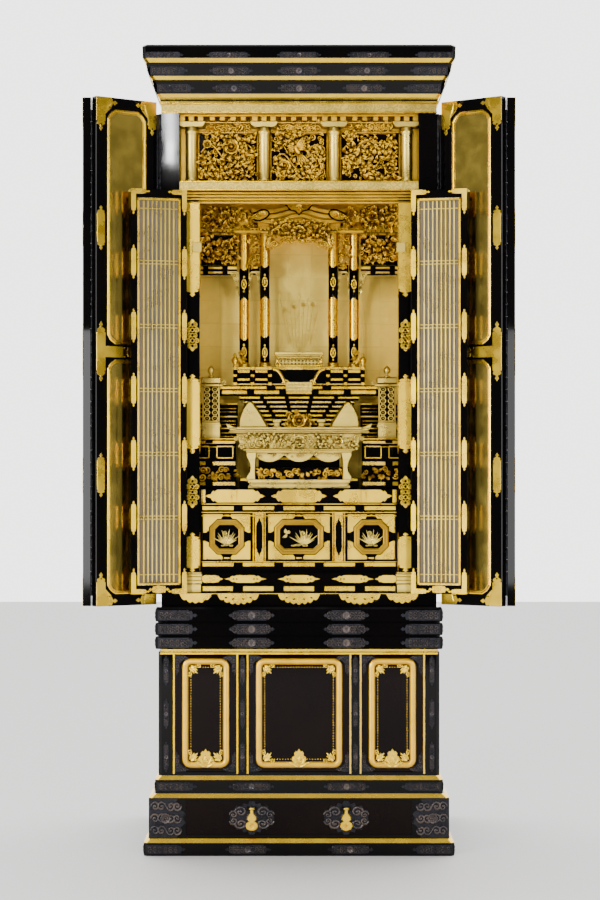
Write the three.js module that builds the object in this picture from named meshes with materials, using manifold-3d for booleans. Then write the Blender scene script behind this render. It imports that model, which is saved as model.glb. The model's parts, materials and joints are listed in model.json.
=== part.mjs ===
// Gilded altar cabinet with folding outer doors, folding lattice doors and a carved altar inside.
// Millimetres, +Z up, the front faces -Y, and the origin is on the plinth's underside, in the middle plane.

import * as THREE from 'three';
import { mergeVertices } from 'three/addons/utils/BufferGeometryUtils.js';
import Module from 'manifold-3d';

const wasm = await Module();
wasm.setup();

// Driving dimensions
const GAP = 0.3; // between pieces that touch
const BACK = 260; // rear plane of the whole cabinet
const CORNER_CUT = 7; // slanted front corners of the mouldings

// Base
const PLINTH = { half: 335, front: -300, height: 28, bevelTop: 36 };
const DRAWER_CASE = { half: 324.5, front: -290, top: 123.5, bevelTop: 132 };
const DRAWER = { half: 243.8, low: 44.5, high: 117.5, frontThickness: 18, trayBack: 190, wall: 10 };
const PULL = { offset: 102, axisHeight: 101, axisFront: -295.6, thickness: 3 };
const STEP = { half: 312, front: -279, top: 161, bevelTop: 169.5 };
const CUPBOARD = { half: 305, front: -270, top: 437, frameThickness: 18, wall: 16 };
const CUPBOARD_OPENING = { low: 176.5, high: 430.5, centreHalf: 111.8, sideInner: 133.4, sideOuter: 271.8 };
const RING = { low: 184.5, high: 424, centreHalf: 94.3, sideHalf: 51, width: 14, radius: 18 };
const CORNICE = { half: 311, neckHalf: 306, listHalf: 300, front: -274, listTop: 443.7, top: 535 };
const CORNICE_SLAB = { height: 27.2, neck: 2.6 };

// Upper case
const CASE = { half: 301, front: -231, floorTop: 562.5, postInner: 262, postDepth: 36, wall: 16 };
const CEILING = { low: 1613, high: 1639.7 };
const BACK_WALL_THICKNESS = 18;
const ROOF_TIERS = [
  { name: 'roof_tier_low', levels: [[1640, 303], [1647, 308], [1674, 318]] },
  { name: 'roof_tier_middle', levels: [[1674.3, 316], [1683, 322], [1709, 331]] },
  { name: 'roof_tier_top', levels: [[1709.3, 329], [1719, 336], [1744, 338], [1748, 334]] },
];
const ROOF_FRONT_MINUS_HALF = 31; // how much less the roof reaches forward than sideways

// Transom above the doorway
const TRANSOM = { low: 1444, high: 1465.2, depth: 38 };
const RANMA_COLUMN = { radius: 16, axisY: -206, top: 1584.7, outerX: 236, innerX: 76.8 };
const RANMA_PANEL = { low: 1465.7, high: 1576, front: -214, boardFront: -204, back: -199 };
const HEAD_MOULDING = { low: 1418.5, front: -214, back: -184 };

// Inner posts and linings
const INNER_POST = { inner: 218.4, outer: 249.5, front: -214, back: -184, footHeight: 24 };
const LINING = { inner: 249.8, outer: 261.7 };
const GOLD_BACK = { front: 228, thickness: 8 };

// Lower altar
const ALTAR = { half: 249.4, postHalf: 218, front: -172, frameThickness: 14 };
const ALTAR_SHELF = { low: 758.5, top: 791 };
const ALTAR_PANEL = { low: 632.8, high: 735.8, centreHalf: 69.5, sideInner: 106.4, sideOuter: 214 };
const SILL = { railTop: 579, top: 605.7, front: -205, railFront: -212 };

// Dais and palace
const DAIS = { centreY: 90, waist: 900, floorLow: 1001, floorHigh: 1025.5, platformTop: 1069.5 };
const DAIS_HALF = { foot: 136, waist: 72, top: 136, floor: 182, platform: 151 };
const PALACE_COLUMN = { radius: 10.9, top: 1377.6, innerX: 79, innerY: 40, outerX: 127.5, outerY: 58 };
const SIDE_SHELF = { inner: 142, outer: 249, front: -60, fenceInner: 171, fenceOuter: 229, fenceY: -47 };
const STAND = { half: 56.5, low: 1069.8, top: 1104.7, front: 14, back: 84 };
const TABLE = { half: 162.7, low: 791.3, top: 928, front: -150, back: -62, bodyHalf: 119 };

// Doors, in the closed pose. Angles are how far each leaf has opened at rest.
const OUTER_LEAF = { low: 537.5, high: 1638.5, hingeEnd: 300.5, fold: 150.9, meeting: 0.8, thickness: 19 };
const OUTER_FRONT = -256;
const OUTER_HINGE = { x: 303.5, y: -225, angle: 146 };
const OUTER_FOLD = { x: 150.9, y: -258, angle: 124 };
const INNER_LEAF = { low: 564, high: 1439, hingeEnd: 249.5, fold: 125.25, meeting: 2.4, thickness: 15 };
const INNER_FRONT = -233;
const INNER_HINGE = { x: 250.5, y: -234.5, angle: 164 };
const INNER_FOLD = { x: 125.25, y: -216.8, angle: 178 };
const LEAF_GAP = 0.35;

// Finishes
const finish = (color, roughness, metalness) => () =>
  new THREE.MeshStandardMaterial({ color, roughness, metalness });
const blackLacquer = finish(0x0c0908, 0.12, 0);
const brownLacquer = finish(0x24100c, 0.15, 0);
const goldLeaf = finish(0xe6c878, 0.35, 1);
const deepGold = finish(0xc8902c, 0.38, 1);
const giltBrass = finish(0xf0d488, 0.28, 1);
const plainWood = finish(0xb89468, 0.7, 0);

// Solids

function outward(geometry) {
  const position = geometry.getAttribute('position');
  const index = geometry.getIndex();
  const a = new THREE.Vector3();
  const b = new THREE.Vector3();
  const c = new THREE.Vector3();
  let volume = 0;
  for (let i = 0; i < index.count; i += 3) {
    a.fromBufferAttribute(position, index.getX(i));
    b.fromBufferAttribute(position, index.getX(i + 1));
    c.fromBufferAttribute(position, index.getX(i + 2));
    volume += a.dot(b.cross(c));
  }
  if (volume < 0) {
    for (let i = 0; i < index.count; i += 3) {
      const first = index.getX(i);
      index.setX(i, index.getX(i + 1));
      index.setX(i + 1, first);
    }
  }
  return geometry;
}

function solid(geometry) {
  const bare = geometry.clone();
  for (const name of Object.keys(bare.attributes)) {
    if (name !== 'position') bare.deleteAttribute(name);
  }
  const merged = outward(mergeVertices(bare, 1e-4));
  return new wasm.Manifold(new wasm.Mesh({
    numProp: 3,
    vertProperties: new Float32Array(merged.getAttribute('position').array),
    triVerts: new Uint32Array(merged.getIndex().array),
  }));
}

function surface(body) {
  const mesh = body.getMesh();
  const geometry = new THREE.BufferGeometry();
  geometry.setAttribute('position', new THREE.BufferAttribute(new Float32Array(mesh.vertProperties), 3));
  geometry.setIndex(new THREE.BufferAttribute(new Uint32Array(mesh.triVerts), 1));
  return geometry;
}

// Fills the small pockets that overlapping carving can close off.
function filled(body) {
  const shells = body.decompose().filter((shell) => shell.volume() > 0);
  return shells.reduce((whole, shell) => whole.add(shell));
}

const join = (bodies) => filled(bodies.reduce((whole, body) => whole.add(body)));

const moved = (body, x, y, z) => body.translate([x, y, z]);

function box([x0, x1], [y0, y1], [z0, z1]) {
  const geometry = new THREE.BoxGeometry(x1 - x0, y1 - y0, z1 - z0);
  geometry.translate((x0 + x1) / 2, (y0 + y1) / 2, (z0 + z1) / 2);
  return solid(geometry);
}

// A stack of convex rings with equal point counts, closed at both ends.
function loft(rings) {
  const count = rings[0].length;
  const positions = rings.flat().flatMap((point) => [point.x, point.y, point.z]);
  const index = [];
  for (let ring = 0; ring < rings.length - 1; ring += 1) {
    for (let i = 0; i < count; i += 1) {
      const low = ring * count + i;
      const lowNext = ring * count + ((i + 1) % count);
      index.push(low, lowNext, lowNext + count, low, lowNext + count, low + count);
    }
  }
  const last = (rings.length - 1) * count;
  for (let i = 1; i < count - 1; i += 1) {
    index.push(0, i + 1, i, last, last + i, last + i + 1);
  }
  const geometry = new THREE.BufferGeometry();
  geometry.setAttribute('position', new THREE.Float32BufferAttribute(positions, 3));
  geometry.setIndex(index);
  return solid(geometry);
}

// A board seen from above: square at the back, corners cut at the front.
function slabRing(z, half, front, back = BACK, cut = CORNER_CUT) {
  return [
    [-half + cut, front], [half - cut, front], [half, front + cut],
    [half, back], [-half, back], [-half, front + cut],
  ].map(([x, y]) => new THREE.Vector3(x, y, z));
}

const slab = (levels) => loft(levels.map(([z, half, front]) => slabRing(z, half, front)));

function extrude(points, depth, options = {}) {
  const shape = points instanceof THREE.Shape
    ? points
    : new THREE.Shape(points.map(([x, y]) => new THREE.Vector2(x, y)));
  return new THREE.ExtrudeGeometry(shape, { depth, bevelEnabled: false, curveSegments: 3, ...options });
}

// An outline in X and Z, from y0 to y1.
function frontOutline(points, y0, y1, options) {
  const geometry = extrude(points, y1 - y0, options);
  geometry.rotateX(Math.PI / 2);
  geometry.translate(0, y1, 0);
  return solid(geometry);
}

// An outline in Y and Z, from x0 to x1.
function sideOutline(points, x0, x1) {
  const geometry = extrude(points, x1 - x0);
  geometry.applyMatrix4(new THREE.Matrix4().makeBasis(
    new THREE.Vector3(0, 1, 0), new THREE.Vector3(0, 0, 1), new THREE.Vector3(1, 0, 0)));
  geometry.translate(x0, 0, 0);
  return solid(geometry);
}

// A turned piece on a vertical axis, from pairs of radius and height.
function turned(profile, x, y, segments = 10) {
  const geometry = new THREE.LatheGeometry(
    profile.map(([radius, height]) => new THREE.Vector2(radius, height)), segments);
  geometry.rotateX(Math.PI / 2);
  geometry.translate(x, y, 0);
  return solid(geometry);
}

// Rounded bosses and pointed petals, the two forms that the carving is built up from.
const boss = (...place) => lump(new THREE.IcosahedronGeometry(1, 0), ...place);
const petal = (...place) => lump(new THREE.OctahedronGeometry(1, 0), ...place);

function lump(geometry, x, y, z, rx, ry, rz, turn = 0) {
  geometry.scale(rx, ry, rz);
  geometry.rotateY(turn);
  geometry.translate(x, y, z);
  return solid(geometry);
}

// A carved stem or scroll: a thin tube through points in the plane of the panel.
function scroll(points, y, radius, steps) {
  const path = new THREE.CatmullRomCurve3(points.map(([x, z]) => new THREE.Vector3(x, y, z)));
  const section = new THREE.Shape();
  section.absarc(0, 0, radius, 0, Math.PI * 2);
  return solid(new THREE.ExtrudeGeometry(section, { steps, extrudePath: path, curveSegments: 3 }));
}

// Scene

const cabinet = new THREE.Group();

function piece(name, body, material, parent = cabinet) {
  const geometry = body instanceof THREE.BufferGeometry ? body : surface(body);
  geometry.computeVertexNormals();
  const mesh = new THREE.Mesh(geometry, material());
  mesh.name = name;
  parent.add(mesh);
  return mesh;
}

const SIDES = [['left', -1], ['right', 1]];

// A range on one side of the cabinet: inner and outer distance from the middle plane.
const sideRange = (sign, inner, outer) => (sign < 0 ? [-outer, -inner] : [inner, outer]);

// Base

function makePlinth() {
  const { half, front, height, bevelTop } = PLINTH;
  piece('plinth', slab([[0, half, front], [height, half, front], [bevelTop, half - 8, front + 8]]), blackLacquer);
}

function makeDrawerCase() {
  const { half, front, top, bevelTop } = DRAWER_CASE;
  const low = PLINTH.bevelTop + GAP;
  const outer = slab([[low, half, front], [top, half, front], [bevelTop - GAP, half - 9, front + 9]]);
  const bottom = DRAWER.low - 0.5;
  const lid = DRAWER.high + 0.5;
  const mouth = box([-DRAWER.half - 0.5, DRAWER.half + 0.5], [front - 10, -240], [bottom, lid]);
  const inside = box([-half + 18, half - 18], [-262, BACK - 20], [bottom, lid]);
  piece('drawer_case', outer.subtract(mouth).subtract(inside), blackLacquer);
}

function makeDrawer() {
  const { half, low, high, frontThickness, trayBack, wall } = DRAWER;
  const face = DRAWER_CASE.front;
  const cheekReach = PULL.axisFront - 3;
  const cheeks = [-1, 1].flatMap((side) => [-1, 1].map((end) => {
    const x = side * PULL.offset + end * 8.5;
    const z = PULL.axisHeight;
    return box([x - 1.5, x + 1.5], [cheekReach, face + 1], [z - 4, z + 4]);
  }));
  const board = box([-half, half], [face, face + frontThickness], [low, high]);
  piece('drawer_front', join([board, ...cheeks]), brownLacquer);

  const trayFront = face + frontThickness + GAP;
  const tray = box([-half + 6, half - 6], [trayFront, trayBack], [low, high - 10]);
  const hollow = box([-half + 6 + wall, half - 6 - wall], [trayFront + wall, trayBack - wall], [low + wall, high]);
  piece('drawer_tray', tray.subtract(hollow), plainWood);
}

function makePulls() {
  const { offset, axisHeight, axisFront, thickness } = PULL;
  const outline = [
    [-3, 0], [-4, -14], [-9, -20], [-13, -30], [-13.5, -38], [-9, -44], [-3, -46],
    [3, -46], [9, -44], [13.5, -38], [13, -30], [9, -20], [4, -14], [3, 0],
  ].map(([x, z]) => [x, z + axisHeight]);
  for (const [side, sign] of SIDES) {
    const plate = frontOutline(outline, axisFront - thickness / 2, axisFront + thickness / 2);
    const barrel = new THREE.CylinderGeometry(3, 3, 13, 10);
    barrel.rotateZ(Math.PI / 2);
    barrel.translate(0, axisFront, axisHeight);
    piece(`drawer_pull_${side}`, moved(plate.add(solid(barrel)), sign * offset, 0, 0), giltBrass);
  }
}

function makeStepBoard() {
  const { half, front, top, bevelTop } = STEP;
  const low = DRAWER_CASE.bevelTop;
  piece('step_board',
    slab([[low, half, front], [top, half, front], [bevelTop - GAP, half - 8, front + 8]]), blackLacquer);
}

function makeCupboard() {
  const { half, front, top, frameThickness, wall } = CUPBOARD;
  const low = STEP.bevelTop;
  const frameBack = front + frameThickness;
  const carcass = box([-half, half], [frameBack + GAP, BACK], [low, top])
    .subtract(box([-half + wall, half - wall], [frameBack - 10, BACK - wall], [low - 1, top + 1]));
  piece('cupboard_carcass', carcass, blackLacquer);

  const { low: openLow, high: openHigh, centreHalf, sideInner, sideOuter } = CUPBOARD_OPENING;
  const openings = [[-centreHalf, centreHalf], [sideInner, sideOuter], [-sideOuter, -sideInner]];
  const ring = (z) => slabRing(z, half, front, frameBack, CORNER_CUT);
  let frame = loft([ring(low), ring(top)]);
  for (const range of openings) {
    frame = frame.subtract(box(range, [front - 5, frameBack + 5], [openLow, openHigh]));
  }
  piece('cupboard_frame', frame, blackLacquer);

  const names = ['centre', 'right', 'left'];
  openings.forEach(([x0, x1], i) => {
    const board = box([x0 + GAP, x1 - GAP], [front + 2, frameBack - 3], [openLow + GAP, openHigh - GAP]);
    const ringHalf = names[i] === 'centre' ? RING.centreHalf : RING.sideHalf;
    piece(`cupboard_panel_${names[i]}`, join([board, panelRing((x0 + x1) / 2, ringHalf, front + 2)]), brownLacquer);
  });
}

function roundedRectangle(shape, halfWidth, low, high, radius) {
  shape.moveTo(-halfWidth + radius, low);
  shape.lineTo(halfWidth - radius, low);
  shape.absarc(halfWidth - radius, low + radius, radius, -Math.PI / 2, 0, false);
  shape.lineTo(halfWidth, high - radius);
  shape.absarc(halfWidth - radius, high - radius, radius, 0, Math.PI / 2, false);
  shape.lineTo(-halfWidth + radius, high);
  shape.absarc(-halfWidth + radius, high - radius, radius, Math.PI / 2, Math.PI, false);
  shape.lineTo(-halfWidth, low + radius);
  shape.absarc(-halfWidth + radius, low + radius, radius, Math.PI, Math.PI * 1.5, false);
  return shape;
}

// Raised round-edged ring with a small finger plate at its foot.
function panelRing(centreX, half, boardFront) {
  const { low, high, width, radius } = RING;
  const outline = roundedRectangle(new THREE.Shape(), half, low, high, radius);
  outline.holes.push(
    roundedRectangle(new THREE.Path(), half - width, low + width, high - width, radius - width / 2));
  const inset = 3;
  const ring = frontOutline(outline, boardFront - 3, boardFront + 0.5,
    { curveSegments: 2, bevelEnabled: true, bevelThickness: 3, bevelSize: inset, bevelOffset: -inset,
      bevelSegments: 1 });
  const plate = frontOutline(
    [[-9, 40], [-16, 12], [-12, 4], [12, 4], [16, 12], [9, 40]].map(([x, z]) => [x, z + low]),
    boardFront - 8, boardFront + 0.5);
  return moved(ring.add(plate), centreX, 0, 0);
}

function makeCornice() {
  const { half, neckHalf, listHalf, front, listTop, top } = CORNICE;
  const frontOf = (reach) => front + (half - reach);
  const levels = [[CUPBOARD.top + GAP, listHalf], [listTop, listHalf]];
  let z = listTop;
  for (let i = 0; i < 3; i += 1) {
    levels.push([z, half], [z + CORNICE_SLAB.height, half]);
    z += CORNICE_SLAB.height;
    if (i < 2) {
      levels.push([z, neckHalf], [z + CORNICE_SLAB.neck, neckHalf]);
      z += CORNICE_SLAB.neck;
    }
  }
  levels.push([top, half - 3]);
  piece('base_cornice', slab(levels.map(([height, reach]) => [height, reach, frontOf(reach)])), blackLacquer);
}

// Upper case

function makeCase() {
  const { half, front, floorTop, postInner, postDepth, wall } = CASE;
  const bottom = floorTop + GAP;
  const head = CEILING.low - GAP;
  const wallFront = front + postDepth + GAP;
  const backFront = BACK - BACK_WALL_THICKNESS;
  piece('case_floor', box([-half, half], [front, BACK], [CORNICE.top + GAP, floorTop]), blackLacquer);
  for (const [side, sign] of SIDES) {
    piece(`front_post_${side}`,
      box(sideRange(sign, postInner, half), [front, front + postDepth], [bottom, head]), blackLacquer);
    piece(`side_wall_${side}`, sideWall(sign, half, wall, wallFront, backFront - GAP, bottom, head), blackLacquer);
  }
  piece('back_wall', box([-half, half], [backFront, BACK], [bottom, head]), blackLacquer);
  const ceiling = join([
    box([-half, half], [front, BACK], [CEILING.low, CEILING.high - 6]),
    box([-half + 4, half - 4], [front + 4, BACK], [CEILING.low + 10, CEILING.high]),
  ]);
  piece('ceiling_board', ceiling, goldLeaf);
}

// A side wall with a sunk panel on its outer face.
function sideWall(sign, half, wall, y0, y1, z0, z1) {
  const board = box(sideRange(sign, half - wall, half), [y0, y1], [z0, z1]);
  const field = sideRange(sign, half - 3, half + 5);
  return board.subtract(box(field, [y0 + 45, y1 - 45], [z0 + 45, z1 - 45]));
}

function makeRoof() {
  for (const { name, levels } of ROOF_TIERS) {
    piece(name, slab(levels.map(([z, half]) => [z, half, -(half - ROOF_FRONT_MINUS_HALF)])), blackLacquer);
  }
}

// Transom

function ranmaColumn(x, y, low, high, r) {
  return turned([
    [0, low], [r, low], [r, low + 5], [r - 2, low + 8], [r - 2, high - 14],
    [r, high - 11], [r, high - 7], [r - 3, high - 5], [r, high], [0, high],
  ], x, y);
}

// A flower with round petals, half sunk in its panel.
function flower(x, y, z, size, petals = 5) {
  const parts = [boss(x, y - size * 0.15, z, size * 0.35, size * 0.4, size * 0.35)];
  for (let i = 0; i < petals; i += 1) {
    const angle = (i / petals) * Math.PI * 2 + 0.3;
    parts.push(petal(x + Math.cos(angle) * size * 0.6, y, z + Math.sin(angle) * size * 0.6,
      size * 0.48, size * 0.32, size * 0.3, -angle));
  }
  return parts;
}

// A wave of stem with leaves on both sides, across a panel from x0 to x1.
function vine(x0, x1, z, swing, y, waves, thickness) {
  const count = waves * 4;
  const points = [];
  const leaves = [];
  for (let i = 0; i <= count; i += 1) {
    const t = i / count;
    const x = x0 + (x1 - x0) * t;
    const phase = t * waves * Math.PI * 2;
    points.push([x, z + Math.sin(phase) * swing]);
    if (i % 2 === 1) {
      const up = -Math.sign(Math.sin(phase));
      leaves.push(petal(x, y, z + up * swing * 0.5, thickness * 3.4, thickness * 1.4, thickness * 2, phase));
    }
  }
  return [scroll(points, y, thickness, count), ...leaves];
}

// Pierced and carved panel: a rail above and below, a thin ground, flowers and vines in front.
function carvedPanel(x0, x1, z0, z1, front, ground, back, seedTurn) {
  const width = x1 - x0;
  const height = z1 - z0;
  const centreX = (x0 + x1) / 2;
  const centreZ = (z0 + z1) / 2;
  const rail = 5;
  const parts = [
    box([x0, x1], [ground, back], [z0 + 1, z1 - 1]),
    box([x0, x1], [front + 3, back], [z0, z0 + rail]),
    box([x0, x1], [front + 3, back], [z1 - rail, z1]),
    ...flower(centreX, ground, centreZ - height * 0.05, height * 0.26),
    ...flower(centreX - seedTurn * width * 0.3, ground, centreZ + height * 0.18, height * 0.17, 4),
    ...flower(centreX + seedTurn * width * 0.31, ground, centreZ - height * 0.2, height * 0.17, 4),
    ...vine(x0 + 4, x1 - 4, centreZ + height * 0.31 * seedTurn, height * 0.1, ground - 1, 2, 3),
  ];
  let body = join(parts);
  for (const side of [-1, 1]) {
    const hole = petal(centreX + side * width * 0.22 * seedTurn, back, centreZ + side * height * 0.05,
      width * 0.055, 60, height * 0.11);
    body = body.subtract(hole);
  }
  return body.trimByPlane([0, 1, 0], front);
}

function makeTransom() {
  const { radius, axisY, top, outerX, innerX } = RANMA_COLUMN;
  const low = TRANSOM.high + GAP;
  [-outerX, -innerX, innerX, outerX].forEach((x, i) => {
    piece(`ranma_column_${i + 1}`, ranmaColumn(x, axisY, low, top, radius), goldLeaf);
  });
  const edge = radius + 0.5;
  const bays = [
    ['left', -outerX + edge, -innerX - edge, 1],
    ['centre', -innerX + edge, innerX - edge, -1],
    ['right', innerX + edge, outerX - edge, 1],
  ];
  const { low: z0, high: z1, front, boardFront, back } = RANMA_PANEL;
  for (const [bay, x0, x1, turn] of bays) {
    piece(`ranma_panel_${bay}`, carvedPanel(x0, x1, z0, z1, front, boardFront, back, turn), deepGold);
  }
  piece('ranma_bracket_row', bracketRow(top + GAP, CEILING.low - GAP), deepGold);
  const beamHalf = CASE.postInner - 0.5;
  const beamFront = CASE.front + 3;
  piece('transom_beam',
    box([-beamHalf, beamHalf], [beamFront, beamFront + TRANSOM.depth], [TRANSOM.low, TRANSOM.high]), goldLeaf);
}

// Boat-shaped bracket arms over the columns, with blocks and a purlin above.
function bracketRow(z0, z1) {
  const arm = [[-26, 12], [-26, 7], [-16, 0], [16, 0], [26, 7], [26, 12]].map(([x, z]) => [x, z + z0]);
  const { outerX, innerX, axisY } = RANMA_COLUMN;
  const parts = [
    box([-261.4, 261.4], [axisY - 6, axisY + 10], [z0 + 8, z0 + 12]),
    box([-261.4, 261.4], [axisY - 10, axisY + 10], [z1 - 5, z1]),
  ];
  for (const x of [-outerX, -innerX, innerX, outerX]) {
    parts.push(moved(frontOutline(arm, axisY - 12, axisY + 10), x, 0, 0));
    for (const step of [-19, 19]) {
      parts.push(box([x + step - 6, x + step + 6], [axisY - 12, axisY + 8], [z0 + 11, z1 - 3]));
    }
  }
  const between = (outerX - innerX) / 2;
  for (const x of [-outerX + between, 0, outerX - between]) {
    parts.push(box([x - 6, x + 6], [axisY - 10, axisY + 8], [z0 + 11, z1 - 3]));
    parts.push(petal(x, axisY - 6, z0 + 10, 32, 8, 9));
  }
  return join(parts);
}

// Doorway: stepped moulding, posts and linings

function makeDoorway() {
  const { low, front, back } = HEAD_MOULDING;
  const top = TRANSOM.low - GAP;
  const profile = [
    [back, low], [front + 12, low], [front + 12, low + 8], [front + 6, low + 9], [front + 6, low + 16],
    [front, low + 17], [front, top], [back, top],
  ];
  piece('head_moulding', sideOutline(profile, -INNER_POST.outer, INNER_POST.outer), deepGold);

  const foot = CASE.floorTop + GAP;
  for (const [side, sign] of SIDES) {
    const { inner, outer, front: postFront, back: postBack, footHeight } = INNER_POST;
    const shaft = box(sideRange(sign, inner, outer), [postFront, postBack], [foot, low - GAP]);
    const base = box(sideRange(sign, inner - 4, outer), [postFront - 2, postBack], [foot, foot + footHeight]);
    const liningBack = BACK - BACK_WALL_THICKNESS - GAP;
    const lining = box(sideRange(sign, LINING.inner, LINING.outer), [postFront, liningBack],
      [foot, TRANSOM.low - GAP]);
    const post = box(sideRange(sign, outer - 1, LINING.inner + 1), [postFront, postBack], [foot, low - GAP]);
    piece(`inner_post_${side}`, join([shaft, base, lining, post]), blackLacquer);
  }
  piece('gold_back_panel', box([-ALTAR.half, ALTAR.half],
    [GOLD_BACK.front, GOLD_BACK.front + GOLD_BACK.thickness], [foot, CEILING.low - GAP]), goldLeaf);
}

// Lower altar

function makeLowerAltar() {
  const { half, postHalf, front, frameThickness } = ALTAR;
  const foot = CASE.floorTop + GAP;
  const shelfBack = GOLD_BACK.front - GAP;
  piece('altar_shelf_board', sideOutline([
    [front, ALTAR_SHELF.low], [shelfBack, ALTAR_SHELF.low], [shelfBack, ALTAR_SHELF.top],
    [front + 2, ALTAR_SHELF.top], [front, ALTAR_SHELF.top - 2],
  ], -half, half), blackLacquer);

  const { low, high, centreHalf, sideInner, sideOuter } = ALTAR_PANEL;
  const openings = [
    ['left', -sideOuter, -sideInner], ['centre', -centreHalf, centreHalf], ['right', sideInner, sideOuter],
  ];
  let frame = join([
    box([-half, half], [front + 1, front + 1 + frameThickness], [foot, ALTAR_SHELF.low - GAP]),
    box([-postHalf + 5, postHalf - 5], [SILL.front, front + 3], [SILL.railTop, SILL.top]),
    box([-postHalf + 5, postHalf - 5], [SILL.railFront, front + 3], [foot, SILL.railTop + 1]),
    box([-postHalf + 1, postHalf - 1], [front - 5, front + 3], [SILL.top + 5, SILL.top + 22]),
    box([-postHalf + 1, postHalf - 1], [front - 5, front + 3], [high + 7, high + 17]),
  ]);
  for (const [, x0, x1] of openings) {
    frame = frame.subtract(box([x0, x1], [front - 20, front + 40], [low, high]));
  }
  piece('altar_front_frame', frame, blackLacquer);
  for (const [side, x0, x1] of openings) {
    piece(`altar_panel_${side}`, octagonPanel(x0 + GAP, x1 - GAP, low + GAP, high - GAP, front), goldLeaf);
  }
}

function octagon(x0, x1, z0, z1, cut) {
  return [
    [x0 + cut, z0], [x1 - cut, z0], [x1, z0 + cut], [x1, z1 - cut],
    [x1 - cut, z1], [x0 + cut, z1], [x0, z1 - cut], [x0, z0 + cut],
  ];
}

// Square board with a raised eight-sided frame around a sunk field that holds a small flower.
function octagonPanel(x0, x1, z0, z1, front) {
  const board = box([x0, x1], [front + 3, front + 13], [z0, z1]);
  const reach = Math.min((x1 - x0) / 2 - 5, 57);
  const centreX = (x0 + x1) / 2;
  const tall = (z1 - z0) / 2 - 8;
  const centreZ = (z0 + z1) / 2;
  const side = Math.min(reach, tall + (x1 - x0 > 120 ? 18 : 0));
  const rim = octagon(centreX - side, centreX + side, centreZ - tall, centreZ + tall, 14);
  const field = octagon(centreX - side + 6, centreX + side - 6, centreZ - tall + 6, centreZ + tall - 6, 11);
  return join([board, frontOutline(rim, front - 1, front + 4)])
    .subtract(frontOutline(field, front - 5, front + 5))
    .add(join(flower(centreX, front + 5, centreZ, 16, 4)));
}

// Side shelves: steps that rise towards the back, and an openwork fence in front of them.
function sideShelf(sign) {
  const { inner, outer, front, fenceInner, fenceOuter, fenceY } = SIDE_SHELF;
  const back = GOLD_BACK.front - GAP;
  const low = ALTAR_SHELF.top + GAP;
  const steps = [[front, 905], [front + 60, 930], [front + 90, 958], [front + 120, 988]];
  const outline = [[back, low], [front, low]];
  steps.forEach(([y, z], i) => {
    outline.push([y, z]);
    outline.push([i + 1 < steps.length ? steps[i + 1][0] : back, z]);
  });
  const [x0, x1] = sideRange(sign, inner, outer);
  const shelf = sideOutline(outline, x0, x1);
  const middle = sign * (fenceInner + fenceOuter) / 2;
  const thick = [fenceY - 4, fenceY + 4];
  const bars = [];
  for (let i = 0; i < 3; i += 1) {
    const x = middle + (i - 1) * 16;
    bars.push(box([x - 3, x + 3], [fenceY - 2.5, fenceY + 2.5], [940, 1022]));
  }
  const fence = [
    box([middle - 22, middle + 22], [fenceY - 8, fenceY + 8], [900, 941]),
    ...bars,
    box([middle - 21, middle + 21], thick, [978, 986]),
    box([middle - 29, middle + 29], [fenceY - 7, fenceY + 7], [1021, 1045]),
    box([middle - 5, middle + 5], thick, [1040, 1052]),
    boss(middle, fenceY, 1060, 8, 8, 11),
  ];
  return join([shelf, ...fence]);
}

// Dais: stepped foot, narrow waist, inverted steps, floor board and the palace platform.
function makeDais() {
  const { centreY, waist, floorLow, floorHigh, platformTop } = DAIS;
  const low = ALTAR_SHELF.top + GAP;
  const back = GOLD_BACK.front - GAP;
  const level = (z, half, front) => [z, half, front];
  const levels = [];
  const courses = 4;
  const climb = (from, to, halfFrom, halfTo) => {
    for (let i = 0; i < courses; i += 1) {
      const half = halfFrom + ((halfTo - halfFrom) * i) / (courses - 1);
      const front = centreY - half * 0.85;
      const z0 = from + ((to - from) * i) / courses;
      const z1 = from + ((to - from) * (i + 1)) / courses;
      levels.push(level(z0, half, front), level(z1, half, front));
    }
  };
  climb(low, waist - 12, DAIS_HALF.foot, DAIS_HALF.waist);
  levels.push(level(waist - 12, DAIS_HALF.waist - 6, 36), level(waist + 34, DAIS_HALF.waist - 6, 36));
  climb(waist + 34, floorLow, DAIS_HALF.waist, DAIS_HALF.top);
  levels.push(
    level(floorLow, DAIS_HALF.floor, -36), level(floorHigh, DAIS_HALF.floor, -36),
    level(floorHigh, DAIS_HALF.platform, -10), level(platformTop, DAIS_HALF.platform, -10));
  const body = loft(levels.map(([z, half, front]) => slabRing(z, half, front, back, 2)));
  const railing = railingAround(floorHigh, platformTop);
  const lotus = flower(0, 30, waist + 24, 20, 6);
  piece('altar_dais', join([body, ...railing, ...lotus]), blackLacquer);
}

// Low railing on the front edge of the dais floor, open in the middle behind two curved hand rails.
function railingAround(z0, z1) {
  const y = [-30, -24];
  const parts = [];
  for (const sign of [-1, 1]) {
    const xs = [64, 106, 148].map((x) => x * sign);
    for (const x of xs) {
      parts.push(box([x - 3.5, x + 3.5], [y[0] - 1, y[1] + 1], [z0 - 1, z1]));
    }
    const [x0, x1] = sideRange(sign, 60, 152);
    parts.push(box([x0, x1], y, [z1 - 12, z1 - 5]));
    parts.push(box([x0, x1], y, [z0 + 14, z0 + 19]));
  }
  return parts;
}

function palaceColumn(x, y) {
  const { radius: r, top } = PALACE_COLUMN;
  const low = DAIS.platformTop + GAP;
  return turned([
    [0, low], [r + 4, low], [r + 4, low + 6], [r, low + 12], [r, low + 74], [r + 1.5, low + 78],
    [r + 1.5, low + 168], [r, low + 172], [r, top - 40], [r + 2, top - 30], [r + 2, top], [0, top],
  ], x, y);
}

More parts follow.
